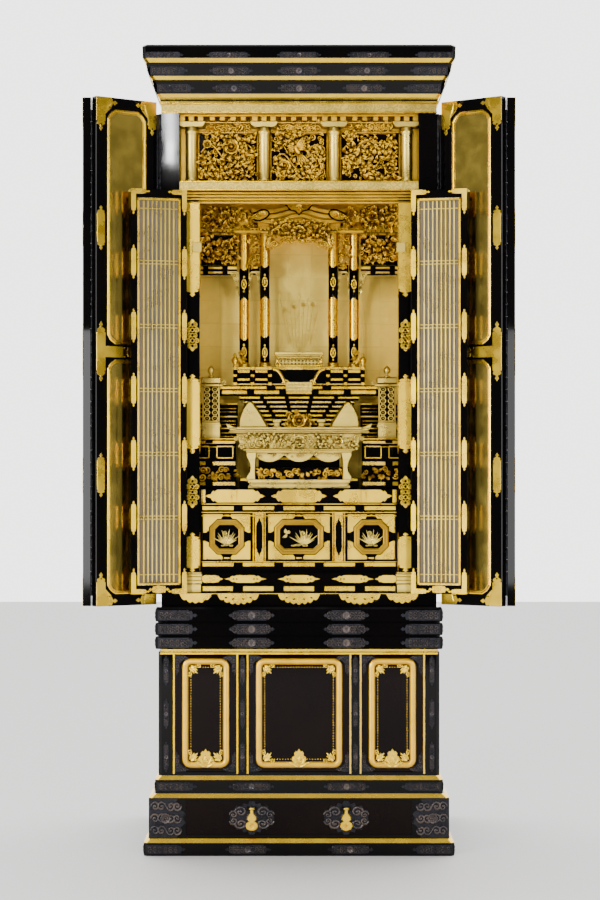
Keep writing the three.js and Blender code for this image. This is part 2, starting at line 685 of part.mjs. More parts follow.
// Palace canopy: curved gable over the middle bay, carved boards, bracket rows and side bays.
function makeCanopy() {
  const low = PALACE_COLUMN.top + GAP;
  const back = GOLD_BACK.front - GAP;
  const half = ALTAR.half - 0.4;
  const gableHalf = 107;
  const gable = (lift, reach) => {
    const points = [];
    for (let i = 0; i <= 12; i += 1) {
      const t = (i / 12) * 2 - 1;
      points.push([t * reach, low + 26 + lift + 36 * Math.exp(-6 * t * t) + 5 * t * t]);
    }
    return points;
  };
  const band = [...gable(0, gableHalf - 4), ...gable(11, gableHalf).reverse()];
  const parts = [
    box([-half, half], [62, back], [low, low + 12]),
    box([-half, half], [70, back], [low + 10, low + 50]),
    box([-150, 150], [24, 80], [low, low + 12]),
    box([-98, 98], [28, 80], [low + 8, low + 34]),
    frontOutline(band, 8, 74),
    ...flower(0, 26, low + 34, 26, 6),
    ...vine(-92, 92, low + 20, 7, 28, 2, 3.4),
    boss(-102, 12, low + 33, 8, 8, 8),
    boss(102, 12, low + 33, 8, 8, 8),
  ];
  for (const sign of [-1, 1]) {
    const [x0, x1] = sideRange(sign, 142, half);
    parts.push(box([x0, x1], [50, 72], [low - 30, low + 2]));
    parts.push(...vine(x0 + 4, x1 - 4, low + 34, 8, 70, 2, 4));
    for (let i = 0; i < 4; i += 1) {
      const x = x0 + ((i + 0.5) * (x1 - x0)) / 4;
      parts.push(box([x - 5, x + 5], [44, 66], [low + 2, low + 12]));
    }
    parts.push(box([x0, x1], [56, 70], [low - 62, low - 54]));
    parts.push(box([x0, x1], [58, 68], [low - 55, low - 29]));
  }
  for (let i = 0; i < 7; i += 1) {
    const x = (i - 3) * 28;
    parts.push(box([x - 6, x + 6], [16, 40], [low + 1, low + 11]));
  }
  piece('palace_canopy', join(parts), goldLeaf);
}

function makeStand() {
  const { half, low, top, front, back } = STAND;
  const middle = (front + back) / 2;
  const ring = (z, h, d) => slabRing(z, h, middle - d, middle + d, 2);
  piece('small_stand', loft([
    ring(low, half - 3, 34), ring(low + 6, half - 3, 34), ring(low + 8, half - 9, 28),
    ring(low + 18, half - 10, 27), ring(top - 10, half - 4, 32), ring(top - 8, half, 35), ring(top, half, 35),
  ]), goldLeaf);
}

// Front table: top with turned-up ends, carved apron, legs and a low base.
function makeTable() {
  const { half, low, top, front, back, bodyHalf } = TABLE;
  const plate = [
    [-half, top + 7], [-half + 4, top + 8], [-half + 9, top], [half - 9, top], [half - 4, top + 8],
    [half, top + 7], [half - 8, top - 10], [half - 14, top - 13], [-half + 14, top - 13], [-half + 8, top - 10],
  ];
  const apron = [[-half + 24, top - 12], [-bodyHalf - 6, top - 50], [bodyHalf + 6, top - 50], [half - 24, top - 12]];
  const parts = [
    frontOutline(plate, front, back),
    frontOutline(apron, front + 8, front + 18),
    frontOutline(apron, back - 18, back - 8),
    box([-bodyHalf, bodyHalf], [front + 4, back - 4], [top - 58, top - 48]),
    box([-bodyHalf, bodyHalf], [front, back], [low, low + 20]),
    box([-bodyHalf + 16, bodyHalf - 16], [front + 12, front + 20], [low + 18, low + 44]),
    box([-bodyHalf + 16, bodyHalf - 16], [front + 8, front + 18], [top - 74, top - 56]),
    ...vine(-bodyHalf + 4, bodyHalf - 4, top - 31, 7, front + 9, 2, 3.6),
    ...flower(0, front + 9, top - 31, 16),
  ];
  for (const x of [-1, 1]) {
    for (const y of [front + 12, back - 12]) {
      parts.push(box([x * (bodyHalf - 9) - 9, x * (bodyHalf - 9) + 9], [y - 9, y + 9], [low + 18, top - 56]));
    }
  }
  piece('front_table', join(parts), goldLeaf);
}

function makePalace() {
  makeDais();
  const { innerX, innerY, outerX, outerY } = PALACE_COLUMN;
  const places = [[-outerX, outerY], [-innerX, innerY], [innerX, innerY], [outerX, outerY]];
  places.forEach(([x, y], i) => piece(`palace_column_${i + 1}`, palaceColumn(x, y), blackLacquer));
  makeCanopy();
  makeStand();
  makeTable();
  for (const [side, sign] of SIDES) {
    piece(`side_shelf_${side}`, sideShelf(sign), blackLacquer);
  }
}

// Doors. Every leaf is drawn closed on the left, mirrored for the right, then turned open.

// Outer leaf: both faces framed, with two sunk eight-sided fields on the inner face.
function outerLeaf(x0, x1) {
  const { low, high, thickness } = OUTER_LEAF;
  const back = OUTER_FRONT + thickness;
  const stile = 25;
  const rail = 24;
  const mid = (low + high) / 2;
  let leaf = box([x0, x1], [OUTER_FRONT, back], [low, high]);
  for (const [z0, z1] of [[low + rail, mid - 15], [mid + 15, high - rail]]) {
    const wide = octagon(x0 + stile, x1 - stile, z0, z1, 20);
    const narrow = octagon(x0 + stile + 5, x1 - stile - 5, z0 + 5, z1 - 5, 18);
    const rim = (outline, y) => outline.map(([x, z]) => new THREE.Vector3(x, y, z));
    leaf = leaf.subtract(loft([rim(wide, back + 0.5), rim(narrow, back - 4)]));
    leaf = leaf.subtract(frontOutline(octagon(x0 + stile, x1 - stile, z0, z1, 6), OUTER_FRONT - 2, OUTER_FRONT + 3));
  }
  return leaf;
}

// Lattice leaf: a frame around a thin ground, with upright bars on both faces.
function innerLeaf(x0, x1) {
  const { low, high, thickness } = INNER_LEAF;
  const back = INNER_FRONT + thickness;
  const stile = 20;
  const rail = 25;
  const field = [[x0 + stile, x1 - stile], [low + rail, high - rail]];
  const leaf = box([x0, x1], [INNER_FRONT, back], [low, high])
    .subtract(box(field[0], [INNER_FRONT - 1, INNER_FRONT + 5.5], field[1]))
    .subtract(box(field[0], [back - 5.5, back + 1], field[1]));
  const bars = [];
  const count = 8;
  const pitch = (field[0][1] - field[0][0]) / (count + 1);
  for (let i = 1; i <= count; i += 1) {
    const x = field[0][0] + i * pitch;
    bars.push(box([x - 2, x + 2], [INNER_FRONT + 2, back - 2], [low + rail - 1, high - rail + 1]));
  }
  return join([leaf, ...bars]);
}

const mirrored = (body) => body.mirror([1, 0, 0]);

function makeDoorPair(kind, side, sign, leafAt, hinge, fold, foldTurn, leaf) {
  const hand = (body) => (sign < 0 ? body : mirrored(body));
  const degrees = Math.PI / 180;
  const first = new THREE.Group();
  first.position.set(sign * hinge.x, hinge.y, 0);
  first.rotation.z = sign * hinge.angle * degrees;
  cabinet.add(first);
  const second = new THREE.Group();
  second.position.set(sign * (fold.x - hinge.x), fold.y - hinge.y, 0);
  second.rotation.z = sign * foldTurn * fold.angle * degrees;
  first.add(second);
  const a = hand(leafAt(-leaf.hingeEnd, -leaf.fold - LEAF_GAP));
  const b = hand(leafAt(-leaf.fold + LEAF_GAP, -leaf.meeting));
  piece(`${kind}_door_${side}_a`, moved(a, -sign * hinge.x, -hinge.y, 0), blackLacquer, first);
  piece(`${kind}_door_${side}_b`, moved(b, -sign * fold.x, -fold.y, 0), blackLacquer, second);
}

function makeDoors() {
  for (const [side, sign] of SIDES) {
    makeDoorPair('outer', side, sign, outerLeaf, OUTER_HINGE, OUTER_FOLD, 1, OUTER_LEAF);
    makeDoorPair('inner', side, sign, innerLeaf, INNER_HINGE, INNER_FOLD, -1, INNER_LEAF);
  }
}

makePlinth();
makeDrawerCase();
makeDrawer();
makePulls();
makeStepBoard();
makeCupboard();
makeCornice();
makeCase();
makeRoof();
makeTransom();
makeDoorway();
makeLowerAltar();
makePalace();
makeDoors();

export default cabinet;
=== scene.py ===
"""Looks of a gilded altar cabinet: black lacquer, gold leaf, carved work and chased metal fittings.

Every maker function works in millimetres, in the cabinet's own frame: +X right, +Z up, the front towards
-Y. An ornament is drawn with its back on the plane Y = 0 and its face towards -Y, and is then placed.
"""

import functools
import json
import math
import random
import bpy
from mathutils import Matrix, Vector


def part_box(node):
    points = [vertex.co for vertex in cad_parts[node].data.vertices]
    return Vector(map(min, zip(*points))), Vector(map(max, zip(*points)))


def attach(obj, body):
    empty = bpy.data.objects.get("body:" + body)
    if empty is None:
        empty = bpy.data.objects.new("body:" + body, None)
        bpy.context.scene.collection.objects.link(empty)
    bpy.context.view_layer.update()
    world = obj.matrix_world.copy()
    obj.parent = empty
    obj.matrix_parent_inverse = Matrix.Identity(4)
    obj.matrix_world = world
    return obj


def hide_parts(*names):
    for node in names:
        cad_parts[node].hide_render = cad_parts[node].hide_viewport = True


bl_info = {
    "name": "Gilded altar cabinet",
    "version": (1, 0, 0),
    "blender": (4, 5, 0),
    "location": "View3D > Sidebar > Altar",
    "description": "Lacquer, gilding, carving and fittings for a folding-door altar cabinet",
    "category": "Object",
}

import bpy
import numpy as np
from bpy.props import FloatProperty, FloatVectorProperty, IntProperty, PointerProperty
from mathutils import Matrix, Vector

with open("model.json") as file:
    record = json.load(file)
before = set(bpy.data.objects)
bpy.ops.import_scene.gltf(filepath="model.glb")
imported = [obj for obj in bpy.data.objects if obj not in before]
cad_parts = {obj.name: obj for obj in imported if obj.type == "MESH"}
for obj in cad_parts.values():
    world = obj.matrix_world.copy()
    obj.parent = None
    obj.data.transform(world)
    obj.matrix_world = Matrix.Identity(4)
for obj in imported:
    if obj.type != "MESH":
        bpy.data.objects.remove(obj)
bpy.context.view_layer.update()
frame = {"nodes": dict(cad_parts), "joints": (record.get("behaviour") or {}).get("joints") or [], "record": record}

MM = 0.001
QUARTER = math.pi / 2
HERE = Matrix.Identity(4)
SIDES = (("left", -1), ("right", 1))
CORNERS = ((-1, -1), (-1, 1), (1, -1), (1, 1))
MATERIALS = {}


# User settings


class CabinetFinishes(bpy.types.PropertyGroup):
    """Colours of the lacquers, golds and metals."""

    black: FloatVectorProperty(
        name="Black lacquer", description="Colour of the polished lacquer",
        subtype="COLOR", size=3, default=(0.0012, 0.0010, 0.0011))
    brown: FloatVectorProperty(
        name="Brown lacquer", description="Colour of the panels and drawer front",
        subtype="COLOR", size=3, default=(0.0032, 0.0012, 0.0010))
    pale_gold: FloatVectorProperty(
        name="Pale gold", description="Gold leaf on the flat fields",
        subtype="COLOR", size=3, default=(0.88, 0.64, 0.12))
    bright_gold: FloatVectorProperty(
        name="Bright gold", description="Gilded metal fittings",
        subtype="COLOR", size=3, default=(0.98, 0.62, 0.040))
    deep_gold: FloatVectorProperty(
        name="Deep gold", description="Gold leaf on carving and mouldings",
        subtype="COLOR", size=3, default=(0.92, 0.53, 0.035))
    # Painted shade: this colour is mixed into the hollows of carving and fittings wherever ambient occlusion finds
    # surfaces close together. It stands in for shade, not for dirt gathered there.
    painted_crevice_shade: FloatVectorProperty(
        name="Crevice", description="Colour that gathers in the hollows of the carving",
        subtype="COLOR", size=3, default=(0.035, 0.010, 0.002))
    dark_metal: FloatVectorProperty(
        name="Dark metal", description="Blackened plates of the dark fittings",
        subtype="COLOR", size=3, default=(0.012, 0.012, 0.015))
    copper: FloatVectorProperty(
        name="Copper", description="Worn relief on the dark fittings",
        subtype="COLOR", size=3, default=(0.105, 0.080, 0.068))
    gauze: FloatVectorProperty(
        name="Gauze", description="Cloth behind the lattice bars",
        subtype="COLOR", size=3, default=(0.20, 0.165, 0.115))


class CabinetSizes(bpy.types.PropertyGroup):
    """Sizes of what is laid on the joinery."""

    relief: FloatProperty(
        name="Fitting thickness",
        description="How far a metal fitting stands off the lacquer, in millimetres",
        default=0.9, min=0.3, max=2.0)
    leaf_square: FloatProperty(
        name="Leaf square", description="Side of one square of gold leaf",
        default=0.055, min=0.02, max=0.12, unit="LENGTH")
    lattice_bars: IntProperty(
        name="Lattice bars", description="Upright gilt bars in one folding lattice leaf",
        default=8, min=4, max=14)
    carving_seed: IntProperty(
        name="Carving seed", description="Start of the random turns of leaves in the carving", default=11)


class StageSettings(bpy.types.PropertyGroup):
    """Floor, lights and camera."""

    distance: FloatProperty(
        name="Camera distance", description="Distance in front of the origin",
        default=4.9, unit="LENGTH")
    height: FloatProperty(
        name="Camera height", description="Height of the level camera", default=0.819, unit="LENGTH")
    light: FloatProperty(
        name="Light", description="Strength of the soft lights", default=1.0, min=0.0)


# Copies of modelled forms


class Shape:
    """A modelled form kept as arrays, so that it can be copied many times, each copy with its own mesh."""

    def __init__(self, points, corners, sizes, smooth):
        self.points = points
        self.corners = corners
        self.sizes = sizes
        self.smooth = smooth

    @classmethod
    def of(cls, mesh, smooth):
        points = np.empty(len(mesh.vertices) * 3)
        mesh.vertices.foreach_get("co", points)
        corners = np.empty(len(mesh.loops), np.int32)
        mesh.loops.foreach_get("vertex_index", corners)
        sizes = np.empty(len(mesh.polygons), np.int32)
        mesh.polygons.foreach_get("loop_total", sizes)
        return cls(points.reshape(-1, 3), corners, sizes, np.full(len(sizes), smooth))


def compose(copies):
    """One form from many placed ones. A mirrored copy has its faces turned, so that they still face out."""
    points, corners, sizes, smooth = [], [], [], []
    offset = 0
    for shape, place in copies:
        turn = np.array(place.to_3x3())
        points.append(shape.points @ turn.T + np.array(place.translation))
        step = -1 if np.linalg.det(turn) < 0 else 1
        corners.append(shape.corners[::step] + offset)
        sizes.append(shape.sizes[::step])
        smooth.append(shape.smooth[::step])
        offset += len(shape.points)
    return Shape(*(np.concatenate(rows) for rows in (points, corners, sizes, smooth)))


def settle(name, made, material, body="root", replaces=()):
    """Makes a finished form one piece of the cabinet, in metres, riding on its body."""
    if isinstance(made, list):
        made = compose(made)
    mesh = bpy.data.meshes.new(name)
    mesh.vertices.add(len(made.points))
    mesh.vertices.foreach_set("co", (made.points * MM).ravel())
    mesh.loops.add(len(made.corners))
    mesh.loops.foreach_set("vertex_index", made.corners)
    mesh.polygons.add(len(made.sizes))
    mesh.polygons.foreach_set("loop_start", np.concatenate([[0], np.cumsum(made.sizes)[:-1]]))
    mesh.polygons.foreach_set("use_smooth", made.smooth)
    mesh.update(calc_edges=True)
    mesh.validate()
    mesh.materials.append(MATERIALS[material])
    obj = bpy.data.objects.new(name, mesh)
    bpy.context.scene.collection.objects.link(obj)
    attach(obj, body)
    if replaces:
        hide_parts(*replaces)
    return obj


def at(x=0.0, y=0.0, z=0.0):
    return Matrix.Translation((x, y, z))


def spun(angle, axis="Y"):
    return Matrix.Rotation(angle, 4, axis)


def sized(x, y=None, z=None):
    return Matrix.Diagonal((x, x if y is None else y, x if z is None else z, 1.0))


def placed(shapes, place):
    """A list of placed forms, moved together."""
    return [(shape, place @ own) for shape, own in shapes]


def mirrored(shapes):
    """The placed forms and their mirror images in the cabinet's middle plane."""
    return shapes + placed(shapes, sized(-1, 1, 1))


def extent(node):
    """Lowest and highest corner of a piece of joinery, in millimetres."""
    low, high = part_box(node)
    return low / MM, high / MM


# Modelling with primitives and edit mode


def begin(kind, **size):
    bpy.ops.object.select_all(action="DESELECT")
    getattr(bpy.ops.mesh, f"primitive_{kind}_add")(**size)
    return bpy.context.object


def pick(obj):
    """Puts a new object in the scene and makes it the only selected one."""
    bpy.context.scene.collection.objects.link(obj)
    bpy.ops.object.select_all(action="DESELECT")
    obj.select_set(True)
    bpy.context.view_layer.objects.active = obj


def edit():
    bpy.ops.object.mode_set(mode="EDIT")
    bpy.ops.mesh.select_all(action="SELECT")


def taken(obj, smooth=False):
    """Reads a finished form and clears its object away."""
    if obj.mode != "OBJECT":
        bpy.ops.mesh.select_all(action="SELECT")
        bpy.ops.mesh.normals_make_consistent(inside=False)
        bpy.ops.object.mode_set(mode="OBJECT")
    shape = Shape.of(obj.data, smooth)
    mesh = obj.data
    bpy.data.objects.remove(obj)
    bpy.data.meshes.remove(mesh)
    return shape


def sculpt(obj, move):
    """Moves every vertex by a rule, as with a sculpting brush."""
    for vertex in obj.data.vertices:
        vertex.co = move(vertex.co)


@functools.lru_cache(None)
def bar(width, depth, height, bevel=0.6):
    """A straight board with eased edges: back on Y = 0, middle at X = 0 and Z = 0."""
    obj = begin("cube", size=1, location=(0, -depth / 2, 0), scale=(width, depth, height))
    bpy.ops.object.transform_apply(location=True, rotation=True, scale=True)
    edit()
    bpy.ops.mesh.bevel(offset=min(bevel, width / 3, depth / 3, height / 3), segments=1)
    return taken(obj)


def block(x, y, z, bevel=0.6):
    """A placed board between pairs of coordinates."""
    shape = bar(round(x[1] - x[0], 2), round(y[1] - y[0], 2), round(z[1] - z[0], 2), bevel)
    return shape, at((x[0] + x[1]) / 2, y[1], (z[0] + z[1]) / 2)


def wide(half, y, z, bevel=0.6):
    """A block that reaches as far to the left as to the right."""
    return block((-half, half), y, z, bevel)


def about(middle, reach):
    """The span that reaches as far to both sides of its middle."""
    return middle - reach, middle + reach


def side_block(sign, x, y, z, bevel=0.6):
    """A block on one side of the middle plane, from its inner and outer distance."""
    return block((-x[1], -x[0]) if sign < 0 else x, y, z, bevel)


def outline_face(outline):
    """A flat face in X and Z with the given corners, ready to be extruded or inset."""
    obj = begin("circle", vertices=len(outline), fill_type="NGON")
    for vertex, (x, z) in zip(obj.data.vertices, outline):
        vertex.co = (x, 0, z)
    return obj


def plate(outline, thickness=0.9, chamfer=0.35):
    """A flat fitting with a chamfered edge."""
    obj = outline_face(outline)
    edit()
    bpy.ops.mesh.extrude_region_move(TRANSFORM_OT_translate={"value": (0, -(thickness - chamfer), 0)})
    bpy.ops.mesh.normals_make_consistent(inside=False)
    bpy.ops.object.mode_set(mode="OBJECT")
    front = min(vertex.co.y for vertex in obj.data.vertices)
    for polygon in obj.data.polygons:
        polygon.select = all(abs(obj.data.vertices[i].co.y - front) < 1e-4 for i in polygon.vertices)
    for part in (obj.data.vertices, obj.data.edges):
        part.foreach_set("select", [False] * len(part))
    bpy.ops.object.mode_set(mode="EDIT")
    bpy.ops.mesh.select_mode(type="FACE")
    bpy.ops.mesh.inset(thickness=chamfer, depth=chamfer)
    return taken(obj)


def moulded(outline, steps):
    """A framed field: the outline is inset again and again, each step with its own width and rise."""
    obj = outline_face(outline)
    edit()
    bpy.ops.mesh.normals_make_consistent(inside=False)
    bpy.ops.object.mode_set(mode="OBJECT")
    toward = -1 if obj.data.polygons[0].normal.y < 0 else 1
    edit()
    bpy.ops.mesh.select_mode(type="FACE")
    for width, rise in steps:
        bpy.ops.mesh.inset(thickness=max(width, 0.01), depth=-rise * toward)
    bpy.ops.object.mode_set(mode="OBJECT")
    return obj, toward


def moulded_frame(outline, steps):
    """The moulding and the inner field of a framed panel, as two open forms backed by the joinery."""
    obj, toward = moulded(outline, steps)
    mesh = obj.data
    field = [p.index for p in mesh.polygons if len(p.vertices) > 4][-1]
    points = np.array([mesh.vertices[i].co for i in mesh.polygons[field].vertices])
    flip = 1 if toward < 0 else -1
    inner = Shape(points, np.arange(len(points), dtype=np.int32)[::flip], np.array([len(points)], np.int32),
                  np.array([False]))
    edit()
    bpy.ops.mesh.select_all(action="DESELECT")
    bpy.ops.object.mode_set(mode="OBJECT")
    mesh.polygons[field].select = True
    bpy.ops.object.mode_set(mode="EDIT")
    bpy.ops.mesh.delete(type="ONLY_FACE")
    if toward > 0:
        bpy.ops.mesh.select_all(action="SELECT")
        bpy.ops.mesh.flip_normals()
    bpy.ops.object.mode_set(mode="OBJECT")
    return taken(obj), inner


@functools.lru_cache(None)
def turned(profile, steps=28):
    """A turned form on the vertical axis, from pairs of radius and height."""
    mesh = bpy.data.meshes.new("profile")
    mesh.from_pydata([(radius, 0, height) for radius, height in profile],
                     [(i, i + 1) for i in range(len(profile) - 1)], [])
    obj = bpy.data.objects.new("profile", mesh)
    pick(obj)
    edit()
    bpy.ops.mesh.spin(steps=steps, angle=math.tau, center=(0, 0, 0), axis=(0, 0, 1))
    bpy.ops.mesh.select_all(action="SELECT")
    bpy.ops.mesh.remove_doubles(threshold=0.001)
    return taken(obj, smooth=True)


def tube(points, radius, taper=None, sides=2):
    """A round stem through points, thinner where the taper says so."""
    curve = bpy.data.curves.new("stem", "CURVE")
    curve.dimensions = "3D"
    curve.bevel_depth = radius
    curve.bevel_resolution = sides - 1
    curve.use_fill_caps = True
    spline = curve.splines.new("POLY")
    spline.points.add(len(points) - 1)
    for i, (x, y, z) in enumerate(points):
        spline.points[i].co = (x, y, z, 1)
        spline.points[i].radius = taper(i / (len(points) - 1)) if taper else 1.0
    obj = bpy.data.objects.new("stem", curve)
    pick(obj)
    bpy.ops.object.convert(target="MESH")
    return taken(bpy.context.object, smooth=True)


def skin(node, keep, thickness=0.35):
    """Thin gilding on some faces of a piece of joinery, found by a rule on their centre and normal."""
    source = frame["nodes"][node]
    obj = bpy.data.objects.new("skin", source.data.copy())
    pick(obj)
    edit()
    bpy.ops.mesh.remove_doubles(threshold=1e-6)
    bpy.ops.mesh.select_all(action="DESELECT")
    bpy.ops.mesh.select_mode(type="FACE")
    bpy.ops.object.mode_set(mode="OBJECT")
    for polygon in obj.data.polygons:
        polygon.select = not keep(polygon.center / MM, polygon.normal)
    bpy.ops.object.mode_set(mode="EDIT")
    bpy.ops.mesh.delete(type="FACE")
    bpy.ops.object.mode_set(mode="OBJECT")
    solidify = obj.modifiers.new("leaf", "SOLIDIFY")
    solidify.thickness = thickness * MM
    solidify.offset = 1
    bpy.ops.object.modifier_apply(modifier="leaf")
    shape = taken(obj)
    shape.points /= MM
    return shape, HERE


# Outlines

END_PROFILE = ((1.0, 0.0), (1.0, 0.08), (0.72, 0.16), (0.92, 0.27), (0.84, 0.38), (0.50, 0.47), (0.26, 0.50),
               (0.22, 0.62), (0.44, 0.72), (0.30, 0.82), (0.0, 1.0))
CUSP_PROFILE = ((1.0, 0.0), (0.70, 0.22), (0.86, 0.34), (0.52, 0.50), (0.30, 0.56), (0.24, 0.74), (0.0, 1.0))


def end_points(half, reach, profile=END_PROFILE):
    """The ornate end of a fitting, from its right edge over the tip to its left edge."""
    right = [(across * half, along * reach) for across, along in profile]
    return right + [(-x, z) for x, z in reversed(right[:-1])]


def lying(outline):
    """An upright outline laid on its side."""
    return [(z, x) for x, z in outline]


def strap_outline(width, height, reach, profile=END_PROFILE):
    """An upright fitting with an ornate end above and below."""
    top = [(x, z + height / 2 - reach) for x, z in end_points(width / 2, reach, profile)]
    return top + [(-x, -z) for x, z in top]


def corner_outline(across, up, width, reach, fill=0):
    """An L-shaped corner fitting whose two arms have ornate ends. Its corner is at the origin."""
    end = end_points(width / 2, reach)
    top = [(x + width / 2, z + up - reach) for x, z in end]
    side = [(z + across - reach, width / 2 - x) for x, z in reversed(end)]
    inner = [(width + fill, width), (width, width + fill)] if fill else [(width, width)]
    return [(0, 0)] + [(x, width - z) for x, z in side] + inner + top


def octagon(x0, x1, z0, z1, cut):
    return [(x0 + cut, z0), (x1 - cut, z0), (x1, z0 + cut), (x1, z1 - cut),
            (x1 - cut, z1), (x0 + cut, z1), (x0, z1 - cut), (x0, z0 + cut)]


def soft_octagon(half_x, half_z, cut):
    """A tall field whose corners are cut by a hollow curve between two small shoulders."""
    quarter = [(half_x - cut, half_z), (half_x - cut * 0.86, half_z - cut * 0.10),
               (half_x - cut * 0.52, half_z - cut * 0.30), (half_x - cut * 0.30, half_z - cut * 0.52),
               (half_x - cut * 0.10, half_z - cut * 0.86), (half_x, half_z - cut)]
    right = quarter + [(x, -z) for x, z in reversed(quarter)]
    return [(x, z) for x, z in reversed(right)] + [(-x, z) for x, z in right]


def rounded(half, low, high, radius, steps=6):
    """A rectangle with round corners, about X = 0."""
    points = []
    for corner, (x, z) in enumerate(((half - radius, low + radius), (half - radius, high - radius),
                                     (-half + radius, high - radius), (-half + radius, low + radius))):
        for i in range(steps + 1):
            angle = (corner - 1 + i / steps) * QUARTER
            points.append((x + radius * math.cos(angle), z + radius * math.sin(angle)))
    return points


def scalloped(width, height, lobes=7):
    """A hanging fitting with a straight top and a lower edge of small round scallops along a bow."""
    points = [(-width / 2, 0)]
    steps = lobes * 4
    for i in range(steps + 1):
        t = i / steps
        bow = math.sin(t * math.pi) ** 0.7
        lobe = abs(math.sin(t * math.pi * lobes))
        points.append(((t - 0.5) * width * 0.98, -height * (0.16 + 0.66 * bow + 0.18 * lobe)))
    return points + [(width / 2, 0)]


def diamond(width, height):
    return [(0, -height / 2), (width / 2, 0), (0, height / 2), (-width / 2, 0)]


def oval(width, height, steps=16):
    return [(math.cos(i / steps * math.tau) * width / 2, math.sin(i / steps * math.tau) * height / 2)
            for i in range(steps)]


# Carved forms


@functools.lru_cache(None)
def petal():
    """A cupped petal one unit long, from its root at the origin up along Z."""
    obj = begin("uv_sphere", segments=10, ring_count=7, radius=1)

    def shape(co):
        t = (co.z + 1) / 2
        x = co.x * (0.26 + 0.24 * t)
        return Vector((x, co.y * 0.08 - 0.30 * t * t - 0.5 * x * x, t))

    sculpt(obj, shape)
    return taken(obj, smooth=True)


@functools.lru_cache(None)
def leaf():
    """A pointed leaf one unit long with a sunk midrib and a curling tip."""
    obj = begin("uv_sphere", segments=12, ring_count=9, radius=1)

    def shape(co):
        t = (co.z + 1) / 2
        x = co.x * 0.36 * (1.05 - 0.75 * t)
        rib = -0.10 * math.exp(-(x / 0.06) ** 2) * math.sin(math.pi * t)
        return Vector((x, co.y * 0.10 - 0.5 * abs(x) - rib - 0.26 * math.sin(2.4 * t), t))

    sculpt(obj, shape)
    return taken(obj, smooth=True)


@functools.lru_cache(None)
def curl():
    """A tendril that rolls up on itself, about one unit across."""
    points = []
    for i in range(19):
        t = i / 18
        angle = t * math.tau * 1.35
        reach = 0.5 * (1 - t) ** 0.8 + 0.05
        points.append((math.cos(angle) * reach, -0.10 - 0.18 * t, math.sin(angle) * reach))
    stem = tube(points, 0.13, lambda t: 0.35 + 0.75 * math.sin(math.pi * min(1.0, 0.25 + t * 0.75)))
    return compose([(stem, at(-0.1, 0, 0)), (bud(), at(-0.12, -0.26, 0.02) @ sized(0.13))])


@functools.lru_cache(None)
def bud():
    """A round bud of radius one."""
    obj = begin("ico_sphere", subdivisions=2, radius=1)
    return taken(obj, smooth=True)


@functools.lru_cache(None)
def small_bead():
    """A bead of few faces, for rows of many."""
    obj = begin("ico_sphere", subdivisions=1, radius=1)
    return taken(obj, smooth=True)


@functools.lru_cache(None)
def blossom(rings=3):
    """A full flower about two units across, built of rings of cupped petals round a bud."""
    copies = [(bud(), at(0, -0.42, 0) @ sized(0.20, 0.24, 0.20))]
    for ring in range(rings):
        count = 8 - 2 * ring
        reach = 0.95 - 0.24 * ring
        for i in range(count):
            turn = (i + ring * 0.5) / count * math.tau
            tilt = spun(0.15 + 0.42 * ring, "X")
            copies.append((petal(), spun(turn) @ at(0, -0.08 - 0.10 * ring, 0.06) @ tilt @ sized(reach)))
    return compose(copies)


@functools.lru_cache(None)
def cloud():
    """Three curls rolled together, as carved clouds and waves are."""
    return compose([
        (curl(), at(0, 0, 0.1) @ sized(0.95)),
        (curl(), at(0.62, 0.04, -0.12) @ spun(0.6) @ sized(-0.75, 0.75, 0.75)),
        (curl(), at(-0.58, 0.04, -0.16) @ sized(0.66)),
    ])


@functools.lru_cache(None)
def spray():
    """Five leaves fanned out from one root."""
    return compose([(leaf(), spun((i - 2) * 0.52) @ sized(1.0 - 0.13 * abs(i - 2))) for i in range(5)])


@functools.lru_cache(None)
def bird():
    """A small long-tailed bird in flight, about two units across."""
    body = (bud(), at(0, -0.35, 0) @ spun(0.5) @ sized(0.20, 0.22, 0.44))
    head = (bud(), at(0.30, -0.46, 0.40) @ sized(0.15, 0.15, 0.15))
    beak = (petal(), at(0.38, -0.48, 0.42) @ spun(1.9) @ sized(0.20))
    wings = [(leaf(), at(-0.02, -0.34, 0.08) @ spun(-0.5 - 0.28 * i) @ sized(0.6, 1, 0.95 - 0.07 * i))
             for i in range(5)]
    other = [(leaf(), at(0.06, -0.26, 0.06) @ spun(1.3 + 0.25 * i) @ sized(0.5, 1, 0.72 - 0.07 * i))
             for i in range(4)]
    tail = [(leaf(), at(-0.12, -0.2, -0.3) @ spun(math.pi + 0.9 - 0.28 * i) @ sized(0.42, 1, 1.25 - 0.16 * i))
            for i in range(4)]
    return compose([body, head, beak] + wings + other + tail)


def wave(x0, x1, z, swing, waves, y, thickness):
    """A stem that waves across a panel."""
    steps = int(waves * 10)
    points = [(x0 + (x1 - x0) * i / steps, y - thickness * 0.6 * math.cos(i * 1.3),
               z + swing * math.sin(i / steps * waves * math.tau)) for i in range(steps + 1)]
    return tube(points, thickness), HERE


def thicket(x, y, z, size, count, seed, kinds=None):
    """Leaves, curls and blossoms set close together over a carved area, each turned its own way."""
    kinds = kinds or (leaf, leaf, curl, spray, petal, curl)
    chance = random.Random(seed)
    copies = []
    columns = max(1, round(math.sqrt(count * (x[1] - x[0]) / (z[1] - z[0]))))
    rows = max(1, round(count / columns))
    for row in range(rows):
        for column in range(columns):
            px = x[0] + (column + 0.5 + chance.uniform(-0.35, 0.35)) / columns * (x[1] - x[0])
            pz = z[0] + (row + 0.5 + chance.uniform(-0.35, 0.35)) / rows * (z[1] - z[0])
            scale = size * chance.uniform(0.75, 1.25)
            turn = spun(chance.uniform(0, math.tau)) @ spun(chance.uniform(-0.3, 0.5), "X")
            made = kinds[chance.randrange(len(kinds))]()
            copies.append((made, at(px, y + chance.uniform(-0.12, 0.12) * size, pz) @ turn @ sized(scale)))
    return copies


